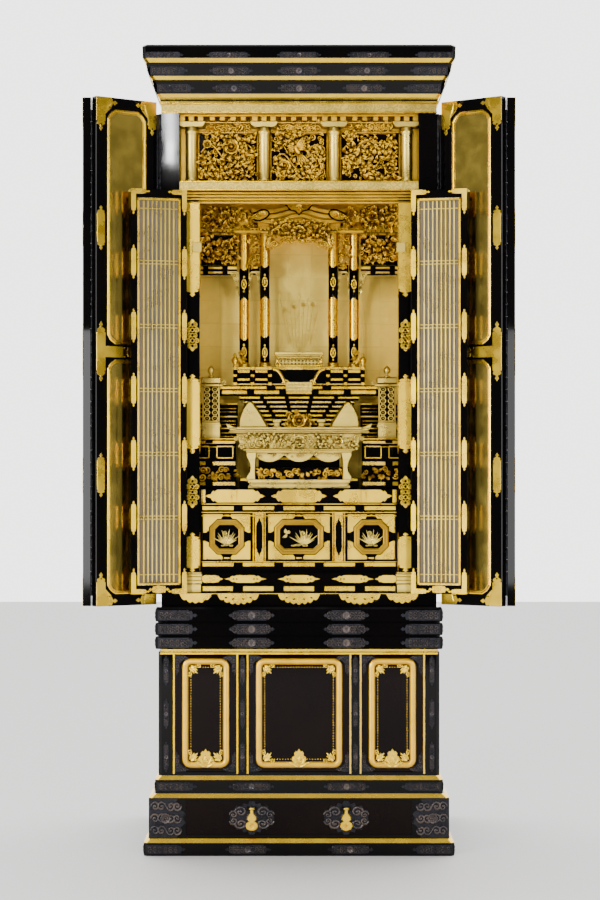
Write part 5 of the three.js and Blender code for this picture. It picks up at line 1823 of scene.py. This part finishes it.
class PALACE_OT_columns(bpy.types.Operator):
    """Round black columns with gilt sleeves, medallions, base rings and small carved brackets."""

    bl_idname = "altar.columns"
    bl_label = "Palace columns"

    def execute(self, context):
        black, sleeves, medallions, carving = [], [], [], []
        nodes = [f"palace_column_{i}" for i in range(1, 5)]
        for number, node in enumerate(nodes):
            low, high = extent(node)
            x, y = (low.x + high.x) / 2, (low.y + high.y) / 2
            radius = 10.9
            place = at(x, y, 0)
            black.append((turned(((0, low.z), (radius, low.z), (radius, high.z), (0, high.z))), place))
            outer = number in (0, 3)
            zones = ((1295, high.z), (1133, 1232)) if outer else ((1300, high.z), (1138, 1233))
            for z0, z1 in zones:
                sleeves.append((self.sleeve(radius, z1 - z0, z1 < high.z), place @ at(0, 0, z0)))
            for z in ((1264, 1106) if outer else (1267, 1104)):
                spot = place @ at(0, -radius + 0.2, z)
                medallions += [(loop(), spot @ sized(6.6, 2.6, 13)), (plate(oval(4.4, 13), 1.2, 0.3), spot)]
                medallions += [(plate(diamond(5, 7), 1.2, 0.3), spot @ at(0, 0, dz)) for dz in (-16.5, 16.5)]
            profile = ((0, 0), (14.5, 0), (14.5, 3), (12.5, 5), (13.6, 8), (12.4, 10), (11.2, 12), (0, 12))
            sleeves.append((turned(profile, 28), place @ at(0, 0, low.z)))
            if outer:
                side = 1 if x > 0 else -1
                spot = at(x + side * 5, y - 12, 1096)
                carving.append((spray(), spot @ spun(math.pi) @ sized(18, 14, 22)))
                carving.append((bird(), spot @ at(0, -2, 6) @ sized(12 * side, 10, 14)))
                carving.append((cloud(), spot @ at(0, 0, -14) @ sized(11, 10, 9)))
        settle("palace_columns", black, "black_lacquer", replaces=nodes)
        settle("palace_column_sleeves", sleeves, "polished_gold")
        settle("palace_column_medallions", medallions, "gilt_metal")
        settle("palace_column_carving", carving, "carved_gold")
        return {"FINISHED"}

    @staticmethod
    def sleeve(radius, height, pointed_top):
        """A thin tube whose ends come to points at the front."""
        obj = begin("cylinder", vertices=32, radius=radius + 0.7, depth=1, end_fill_type="NOTHING",
                    location=(0, 0, 0.5))
        bpy.ops.object.transform_apply(location=True, rotation=True, scale=True)

        def stretch(co):
            angle = math.atan2(co.x, -co.y)
            point = 6 * abs(math.cos(angle * 2)) ** 1.5 - 6
            if co.z > 0.5:
                return Vector((co.x, co.y, height + (point if pointed_top else 0)))
            return Vector((co.x, co.y, -point))

        sculpt(obj, stretch)
        return taken(obj, smooth=True)


def gable_line(half, lift, crown, points=25):
    """The bow of a curved gable: a round crown in the middle and ends that flick up."""
    line = []
    for i in range(points):
        t = i / (points - 1) * 2 - 1
        line.append((t * half, lift + crown * math.exp(-5.5 * t * t) + 7 * t ** 4))
    return line


def bracket_cluster(width, tiers):
    """A tight set of stepped bracket arms with square blocks, growing outwards as it rises."""
    rise, lean = 7.2, 4.0
    copies = []
    for tier in range(tiers):
        reach = width * (0.45 + 0.55 * (tier + 1) / tiers) / 2
        y, z = -tier * lean, tier * rise
        copies.append(wide(reach, (y - 2.4, y + 6), (z + 3.4, z + 6.4), 0.6))
        for dx in (-reach + 2.6, 0, reach - 2.6):
            copies.append(block(about(dx, 2.8), (y - 3.2, y + 6), (z, z + 3.6), 0.5))
    return compose(copies)


class PALACE_OT_canopy(bpy.types.Operator):
    """The palace roof front: curved gable, bracket rows, carved boards and the side bays."""

    bl_idname = "altar.canopy"
    bl_label = "Palace canopy"

    def execute(self, context):
        seed = context.scene.altar_sizes.carving_seed
        high = extent("palace_canopy")[1]
        base = extent("palace_column_1")[1].z
        back = high.y
        half = high.x
        boards = [
            wide(half, (64, back), (base + 0.5, base + 10), 1.0),
            wide(half, (72, back), (base + 8, high.z), 1.0),
            wide(150, (26, 84), (base + 2, base + 9), 1.0),
            wide(96, (34, 84), (base + 8, base + 50), 1.0),
        ]
        settle("canopy_boards", boards, "deep_gold", replaces=("palace_canopy",))
        self.gable(base, high.z)
        carving = foliage((-70, 70), 24, (base - 14, base + 26), 15, 10, seed + 51)
        carving += thicket((-70, 70), 26, (base - 16, base + 26), 13, 46, seed + 53)
        carving += foliage((-66, 66), 16, (base - 4, base + 22), 13, 7, seed + 52)
        for x, z, size in ((0, 4, 15), (-30, 12, 11), (30, 12, 11), (-54, 2, 10), (54, 2, 10)):
            carving.append((blossom(), at(x, 13, base + z) @ sized(size, size * 0.8, size)))
        for i in range(11):
            x = (i - 5) * 12.5
            droop = base - 18 - 16 * abs(x / 62) ** 3
            carving.append((curl(), at(x, 20, droop) @ sized(12 if x < 0 else -12, 12, 12)))
        for sign in (-1, 1):
            carving.append((cloud(), at(sign * 58, 18, base - 26) @ sized(sign * 17, 14, 15)))
            place = at(sign * 62, 20, base - 12) @ spun(math.pi - sign * 0.5)
            carving.append((spray(), place @ sized(17, 12, 26)))
        settle("canopy_centre_carving", carving, "carved_gold")
        self.brackets(base)
        self.bays(base, seed, half)
        return {"FINISHED"}

    def gable(self, base, top):
        """Bands of the curved gable, bosses at its curled ends and a chevron plate in its middle."""
        gold_part = []
        bands = ((110, 42, 9, 6, 66), (104, 31, 9.5, 12, 60), (92, 20, 9.5, 17, 52), (107, 21, 27, 20, 40))
        for reach, lift, thick, front, depth in bands:
            lower = gable_line(reach, base + lift, 17)
            upper = [(x, min(z + thick, top - 1)) for x, z in reversed(lower)]
            gold_part.append((plate(lower + upper, depth, 1.0), at(0, front + depth, 0)))
        settle("canopy_gable", gold_part, "deep_gold")
        ends = []
        rims = []
        for sign in (-1, 1):
            place = at(sign * 88, 8, base + 41) @ spun(sign * 0.35)
            rims.append((plate(oval(44, 26, 20), 2, 0.6), place))
            ends.append((plate(oval(37, 20, 20), 3.4, 1.2), place))
            ends.append((blossom(2), place @ at(sign * -4, -3, 0) @ sized(9, 5, 8)))
            ends.append((cloud(), place @ at(sign * 14, -2, 2) @ sized(sign * 10, 8, 8)))
        chevron = [(-34, 8), (34, 8), (22, -6), (9, -9), (0, -18), (-9, -9), (-22, -6)]
        rims.append((plate(chevron, 2.5, 0.8), at(0, 8, base + 58)))
        ends.append((plate([(x * 0.84, z * 0.8 + 0.6) for x, z in chevron], 4, 1.0), at(0, 8, base + 58)))
        ends.append((blossom(2), at(0, 3, base + 58) @ sized(8, 5, 8)))
        settle("canopy_gable_ornaments", ends, "gilt_metal")
        settle("canopy_gable_ornament_rims", rims, "black_lacquer")

    def brackets(self, base):
        """Rows of bracket sets over the columns and along the side bays."""
        cluster = bracket_cluster(22, 2)
        copies = []
        for sx in (-1, 1):
            for x, y in ((79, 22), (103, 34), (127.5, 42)):
                copies.append((cluster, at(sx * x, y, base + 0.5)))
            for i in range(5):
                copies.append((cluster, at(sx * (151 + i * 21.5), 58, base + 0.5)))
        settle("canopy_brackets", copies, "deep_gold")

    def bays(self, base, seed, half):
        """Carved boards, striped beams and corner brackets of the two side bays."""
        carving, beams, stripes, corners = [], [], [], []
        for number, sign in enumerate((-1, 1)):
            x = (144, half - 4) if sign > 0 else (-half + 4, -144)
            middle = (x[0] + x[1]) / 2
            upper = (base + 20, base + 66)
            lower = (base - 58, base - 4)
            carving += foliage(x, 62, upper, 17, 8, seed + 60 + number)
            carving += thicket(x, 64, upper, 14, 30, seed + 64 + number)
            carving += foliage(x, 56, lower, 17, 8, seed + 70 + number)
            carving += thicket(x, 58, lower, 14, 34, seed + 74 + number)
            flowers = ((-26, -24, 12), (16, -36, 11), (30, -14, 9), (-24, 44, 12), (20, 36, 10), (38, 54, 8))
            for dx, dz, size in flowers:
                place = at(middle + sign * dx, 48, base + dz)
                carving.append((blossom(), place @ sized(size, size * 0.8, size)))
            carving.append((bird(), at(middle - sign * 4, 46, base - 22) @ sized(sign * 16, 14, 16)))
            near = (92, 115) if sign > 0 else (-115, -92)
            carving += thicket(near, 44, (base - 76, base + 4), 13, 26, seed + 80 + number)
            carving += thicket(about(sign * 115, 22), 46, (base + 16, base + 60), 14, 20,
                               seed + 84 + number)
            beams.append(block(x, (66, 72), (base - 68, base), 0.6))
            beams.append(block(x, (60, 72), (base - 92, base - 69), 0.8))
            beams.append(block(about(sign * 103, 12), (52, 62), (base - 92, base - 69), 0.8))
            for z in (base - 75, base - 86):
                stripes.append(block((x[0] + 34, x[1] - 34), (58.6, 61), about(z, 2.6), 0.8))
                stripes.append(block((x[0], x[0] + 22), (58.6, 61), about(z, 3.4), 0.8))
                stripes.append(block((x[1] - 22, x[1]), (58.6, 61), about(z, 3.4), 0.8))
                stripes.append(block(about(sign * 103, 8), (50.6, 53), about(z, 2.6), 0.8))
            wing = [(0, 0), (24, 0), (23, -5), (17, -8), (15, -15), (11, -20), (10, -29), (6, -34),
                    (6, -44), (2, -52), (0, -60)]
            corner = compose([(plate(wing, 3, 0.9), HERE),
                              (curl(), at(12, -3, -9) @ sized(13, 8, 13)),
                              (curl(), at(7, -3, -26) @ sized(10, 8, 12)),
                              (leaf(), at(4, -3, -34) @ spun(math.pi) @ sized(12, 8, 20))])
            corners.append((corner, at(sign * 139, 60, base - 84) @ sized(sign, 1, 1)))
            corners.append((corner, at(sign * (half - 1), 60, base - 84) @ sized(-sign * 0.8, 1, 0.8)))
            corners.append((corner, at(sign * 90, 44, base - 84) @ sized(sign * 0.5, 1, 1)))
            corners.append((corner, at(sign * 117, 56, base - 84) @ sized(-sign * 0.5, 1, 1)))
        settle("canopy_bay_carving", carving, "carved_gold")
        settle("canopy_bay_beams", beams, "black_lacquer")
        settle("canopy_bay_stripes", stripes, "gilt_metal")
        settle("canopy_bay_corners", corners, "gold_leaf")


class TABLE_OT_front(bpy.types.Operator):
    """The gilded table in front of the dais: turned-up ends, carved aprons, legs and a stepped base."""

    bl_idname = "altar.table"
    bl_label = "Front table"

    def execute(self, context):
        seed = context.scene.altar_sizes.carving_seed
        low, high = extent("front_table")
        half = high.x
        top = high.z - 8
        front, back = low.y, high.y
        body = 119
        layers = []
        for i, (reach, z0, z1) in enumerate(((half - 4, -5, 0), (half - 8, -9, -5), (half - 6, -13, -9))):
            layers.append(wide(reach, (front + 1.2 * i, back - 1.2 * i), (top + z0, top + z1), 1.2))
        tip = [(0, 0), (3, 8), (-3, 6), (-12, 1), (-22, -1), (-22, -5), (-8, -8)]
        upturn = plate(tip, back - front, 0.8)
        layers += [(upturn, at(half - 3, back, top)), (upturn, at(-half + 3, back, top) @ sized(-1, 1, 1))]
        settle("table_top", layers, "gold_leaf", replaces=("front_table",))
        apron_z = (top - 50, top - 14)
        carcass = []
        for y in ((front + 12, front + 18), (back - 18, back - 12)):
            outline = [(-half + 22, apron_z[1]), (-body - 8, apron_z[0]), (body + 8, apron_z[0]),
                       (half - 22, apron_z[1])]
            carcass.append((plate(outline, y[1] - y[0], 0.6), at(0, y[1], 0)))
        carcass.append(wide(body, (front + 4, back - 4), (top - 58, top - 48), 1.5))
        carcass.append(wide(body + 6, (front + 1, back - 1), (top - 53, top - 49), 1.2))
        tall = top - 56 - low.z - 18
        bow = ((10, 1.0), (12, 0.90), (9, 0.78), (4, 0.62), (2, 0.45), (4, 0.30), (9, 0.18), (12, 0.08),
               (10, 0.0), (-9, 0.0), (-8, 0.3), (-9, 0.7), (-12, 1.0))
        leg = plate([(x, z * tall) for x, z in bow], 17, 1.2)
        for sx in (-1, 1):
            for y in (front + 19, back - 3):
                carcass.append((leg, at(sx * (body - 13), y, low.z + 18) @ sized(sx, 1, 1)))
        for i, (reach, z0, z1) in enumerate(((body - 5, 12, 20), (body - 8, 7, 12), (body - 5, 0, 7))):
            carcass.append(wide(reach, (front + i, back - i), (low.z + z0, low.z + z1), 1.0))
        settle("table_carcass", carcass, "gold_leaf")
        carving = []
        for y, turn, shift in ((front + 12, 0, 10), (back - 12, math.pi, 30)):
            inner_z = (apron_z[0] + 6, apron_z[1] - 5)
            area = thicket((-half + 36, half - 36), 0, inner_z, 12, 66, seed + shift)
            area += [(blossom(), at(x, -2, (apron_z[0] + apron_z[1]) / 2) @ sized(size, size * 0.7, size))
                     for x, size in ((0, 15), (-46, 12), (46, 12), (-88, 11), (88, 11))]
            area += foliage((-half + 30, half - 30), -1, inner_z, 11, 10, seed + shift + 5)
            for sign in (-1, 1):
                area.append((cloud(), at(sign * (half - 32), -2, apron_z[1] - 10) @ sized(sign * 14, 8, 12)))
                area.append((curl(), at(sign * (body + 10), -2, apron_z[0] + 6) @ sized(sign * 12, 8, 12)))
                area.append((curl(), at(sign * (body - 13), 9, apron_z[0] - 10) @ sized(sign * 12, 8, 14)))
            carving += placed(area, at(0, y, 0) @ spun(turn, "Z"))
        settle("table_apron_carving", carving, "gold_leaf")
        arches = []
        span = (2 * body - 40) / 3
        for i in range(3):
            x = -body + 20 + span * (i + 0.5)
            bowed = [(t / 8 - 0.5, -22 + 15 * (2 * abs(t / 8 - 0.5)) ** 2.2) for t in range(9)]
            arch = [(-span / 2, 0), (-span / 2, -4)]
            arch += [(span * across * 0.98, z) for across, z in bowed] + [(span / 2, -4), (span / 2, 0)]
            arches.append((plate(arch, 5, 0.8), at(x, front + 14, top - 56)))
        relief = thicket((-body + 24, body - 24), front + 9, (top - 66, top - 57), 8, 26, seed + 37)
        settle("table_apron_relief", relief, "gold_leaf")
        settle("table_scalloped_apron", arches, "gold_leaf")
        under = plate(scalloped(2 * body - 16, 9, 13), 2, 0.5)
        settle("table_foot_scallops", [(under, at(0, front + 1, low.z + 8))], "gold_leaf")
        settle("table_lower_ground", [block((-body + 16, body - 16), (front + 16, front + 20),
                                            (low.z + 18, low.z + 46), 0.6)], "black_lacquer")
        strip = thicket((-body + 20, body - 20), front + 15, (low.z + 24, low.z + 42), 13, 34, seed + 33)
        settle("table_lower_carving", strip, "carved_gold")
        return {"FINISHED"}


class SHELF_OT_sides(bpy.types.Operator):
    """Side shelves with gilt lines and small framed panels, and their openwork fences with finials."""

    bl_idname = "altar.side_shelves"
    bl_label = "Side shelves"

    def execute(self, context):
        seed = context.scene.altar_sizes.carving_seed
        for number, (side, sign) in enumerate(SIDES):
            node = f"side_shelf_{side}"
            low, high = extent(node)
            inner, outer = 142, 249
            back = high.y
            black, gilt = [], []
            steps = ((-60, 905), (0, 930), (30, 958), (60, 988))
            line = 3.4
            floor = low.z
            for y, z in steps:
                black.append(side_block(sign, (inner, outer), (y, back), (floor, z), 0.8))
                gilt.append(side_block(sign, (inner, outer), about(y, 2), (z - line, z), 0.8))
                for k in range(1, 3):
                    top = z - line - 8 * k
                    gilt.append(side_block(sign, (inner + 4, outer - 6), about(y, 1), (top - 1.4, top), 0.5))
                floor = z - 1
            face = -60
            for z0, z1 in ((797, 806), (843, 852), (893, 899)):
                gilt += [side_block(sign, span, (face - 1.6, face + 1), (z0, z1), 0.8)
                         for span in ((inner + 2, 196), (212, outer - 2))]
            edge = 18
            front = (face - 2, face + 1)
            for x in (168, 222):
                for dx in (-edge, edge):
                    gilt.append(side_block(sign, about(x + dx, 1.4), front, (860, 886), 0.5))
                for z in (860, 886):
                    gilt.append(side_block(sign, (x - edge, x + edge), front, about(z, 1.4), 0.5))
            settle(f"side_shelf_{side}_steps", black, "black_lacquer", replaces=(node,))
            settle(f"side_shelf_{side}_gilt", gilt, "polished_gold")
            x = (inner + 4, outer - 4) if sign > 0 else (-outer + 4, -inner - 4)
            strip = thicket(x, face - 1, (812, 838), 13, 22, seed + 90 + number)
            settle(f"side_shelf_{side}_carving", strip, "carved_gold")
            self.fence(side, sign)
        return {"FINISHED"}

    def fence(self, side, sign):
        """An openwork gilt fence on a block, with a shelf rail and a ball finial."""
        y = -47
        middle = sign * 200
        copies = [
            block(about(middle, 21), about(y, 7.5), (900, 941), 1.2),
            block(about(middle, 23), about(y, 8), (930, 936), 1.0),
            block(about(middle, 28), about(y, 7), (1022, 1028), 1.4),
            block(about(middle, 24), about(y, 6.5), (1028, 1044), 3.0),
            block(about(middle, 19), about(y, 3), (941, 945), 0.8),
        ]
        ground_board = block(about(middle, 18), (y, y + 2), (942, 1023), 0.4)
        settle(f"fence_{side}_ground", [ground_board], "black_lacquer")
        for dx in (-9, 9):
            for i in range(6):
                z = 950 + i * 13.2
                copies.append((loop(), at(middle + dx, y - 1, z) @ sized(7.4, 3, 6.6)))
                copies.append((loop(), at(middle + dx, y - 2, z + 6.6) @ sized(3.6, 3, 3.4)))
                copies.append((bud(), at(middle + dx, y - 2, z) @ sized(1.6)))
        for dx in (-18, 18):
            copies.append(block(about(middle + dx, 1.4), (y - 3, y + 2), (941, 1023), 0.6))
        for dx in (-28, 28):
            curl_turn = sized(-12 if dx > 0 else 12, 10, 12)
            copies.append((curl(), at(middle + dx, y - 2, 1030) @ curl_turn))
        profile = ((0, 0), (7, 0), (7, 2), (3, 4), (2.6, 7), (7, 11), (8, 16), (6, 21), (2, 24), (0, 27))
        finial = turned(profile, 24)
        copies.append((finial, at(middle, y, 1044)))
        settle(f"fence_{side}", copies, "gold_leaf")


# Stage


class STAGE_OT_studio(bpy.types.Operator):
    """Pale floor, soft lights and the level camera."""

    bl_idname = "altar.studio"
    bl_label = "Studio"

    def execute(self, context):
        settings = context.scene.altar_stage
        bpy.ops.object.select_all(action="DESELECT")
        bpy.ops.mesh.primitive_plane_add(size=14, location=(0, 2, 0))
        floor = context.object
        floor.name = "floor"
        material = bpy.data.materials.new("floor")
        material.use_nodes = True
        shader = material.node_tree.nodes["Principled BSDF"]
        shader.inputs["Base Color"].default_value = (0.86, 0.86, 0.85, 1)
        shader.inputs["Roughness"].default_value = 0.7
        floor.data.materials.append(material)
        self.world(context)
        self.lights(context, settings)
        self.camera(context, settings)
        return {"FINISHED"}

    @staticmethod
    def world(context):
        """Soft white surroundings, brighter behind the cabinet than before it."""
        world = bpy.data.worlds.new("studio")
        world.use_nodes = True
        tree = world.node_tree
        background = tree.nodes["Background"]
        background.inputs["Color"].default_value = (1.0, 0.99, 0.98, 1)
        direction = tree.nodes.new("ShaderNodeTexCoord").outputs["Generated"]
        parts = tree.nodes.new("ShaderNodeSeparateXYZ")
        tree.links.new(direction, parts.inputs[0])
        shade = tree.nodes.new("ShaderNodeMapRange")
        shade.interpolation_type = "SMOOTHSTEP"
        tree.links.new(parts.outputs["Y"], shade.inputs["Value"])
        for label, value in (("From Min", -0.35), ("From Max", 0.55), ("To Min", 0.24), ("To Max", 3.4)):
            shade.inputs[label].default_value = value
        tree.links.new(shade.outputs["Result"], background.inputs["Strength"])
        context.scene.world = world

    @staticmethod
    def lights(context, settings):
        """Tall soft lights on both sides, two near the camera, one above and a narrow streak."""
        ahead = (0.0, -0.1, 1.0)
        # Name, place, target, width and height in metres, power in watts
        lights = (
            ("key", (-3.0, -4.4, 1.3), ahead, 1.0, 2.0, 120),
            ("fill", (3.0, -4.4, 1.3), ahead, 1.0, 2.0, 60),
            ("front_left", (-0.95, -4.85, 0.9), ahead, 0.4, 1.1, 23),
            ("front_right", (0.95, -4.85, 0.9), ahead, 0.4, 1.1, 15),
            ("top", (0.0, -2.9, 4.2), (0.0, -0.1, 0.9), 3.2, 1.5, 45),
            ("streak_left", (-0.566, -4.9, 2.42), (-0.566, 0.0, 1.5), 0.030, 0.46, 14.0),
        )
        for name, place, target, width, height, power in lights:
            lamp = bpy.data.lights.new(name, "AREA")
            lamp.shape = "RECTANGLE"
            lamp.size = width
            lamp.size_y = height
            lamp.energy = power * settings.light
            obj = bpy.data.objects.new(name, lamp)
            context.scene.collection.objects.link(obj)
            obj.location = place
            obj.rotation_euler = (Vector(target) - Vector(place)).to_track_quat("-Z", "Y").to_euler()

    @staticmethod
    def camera(context, settings):
        """A level camera whose frame is moved down a little, so that uprights stay parallel."""
        data = bpy.data.cameras.new("camera")
        plane, frame_height, frame_pixels = 4.6, 1.9395, 900
        data.sensor_fit = "VERTICAL"
        data.sensor_height = 36.0
        data.lens = data.sensor_height * plane / frame_height
        data.shift_y = 26 / frame_pixels
        data.shift_x = 1 / frame_pixels
        obj = bpy.data.objects.new("camera", data)
        context.scene.collection.objects.link(obj)
        obj.location = (0.0, -settings.distance, settings.height)
        obj.rotation_euler = (QUARTER, 0.0, 0.0)
        context.scene.camera = obj


class ALTAR_PT_panel(bpy.types.Panel):
    """Lists the makers of the cabinet's looks."""

    bl_label = "Altar cabinet"
    bl_space_type = "VIEW_3D"
    bl_region_type = "UI"
    bl_category = "Altar"

    def draw(self, context):
        layout = self.layout
        for group in (context.scene.altar_finishes, context.scene.altar_sizes, context.scene.altar_stage):
            box = layout.box()
            for name in group.__annotations__:
                box.prop(group, name)
        for operator in OPERATORS:
            layout.operator(operator.bl_idname)


GROUPS = (CabinetFinishes, CabinetSizes, StageSettings)
OPERATORS = (
    FINISH_OT_materials,
    ROOF_OT_fittings,
    BASE_OT_fittings,
    CUPBOARD_OT_panels,
    DRAWER_OT_fittings,
    DOOR_OT_outer,
    DOOR_OT_hinges,
    DOOR_OT_inner,
    TRANSOM_OT_carving,
    DOORWAY_OT_posts,
    ALTAR_OT_lower,
    PALACE_OT_dais,
    PALACE_OT_columns,
    PALACE_OT_canopy,
    TABLE_OT_front,
    SHELF_OT_sides,
    STAGE_OT_studio,
)


def register():
    for item in GROUPS + OPERATORS + (ALTAR_PT_panel,):
        bpy.utils.register_class(item)
    bpy.types.Scene.altar_finishes = PointerProperty(type=CabinetFinishes)
    bpy.types.Scene.altar_sizes = PointerProperty(type=CabinetSizes)
    bpy.types.Scene.altar_stage = PointerProperty(type=StageSettings)


def unregister():
    del bpy.types.Scene.altar_stage
    del bpy.types.Scene.altar_sizes
    del bpy.types.Scene.altar_finishes
    for item in reversed(GROUPS + OPERATORS + (ALTAR_PT_panel,)):
        bpy.utils.unregister_class(item)


def main():
    register()
    for operator in OPERATORS:
        group, name = operator.bl_idname.split(".")
        getattr(getattr(bpy.ops, group), name)()


if __name__ == "__main__":
    main()
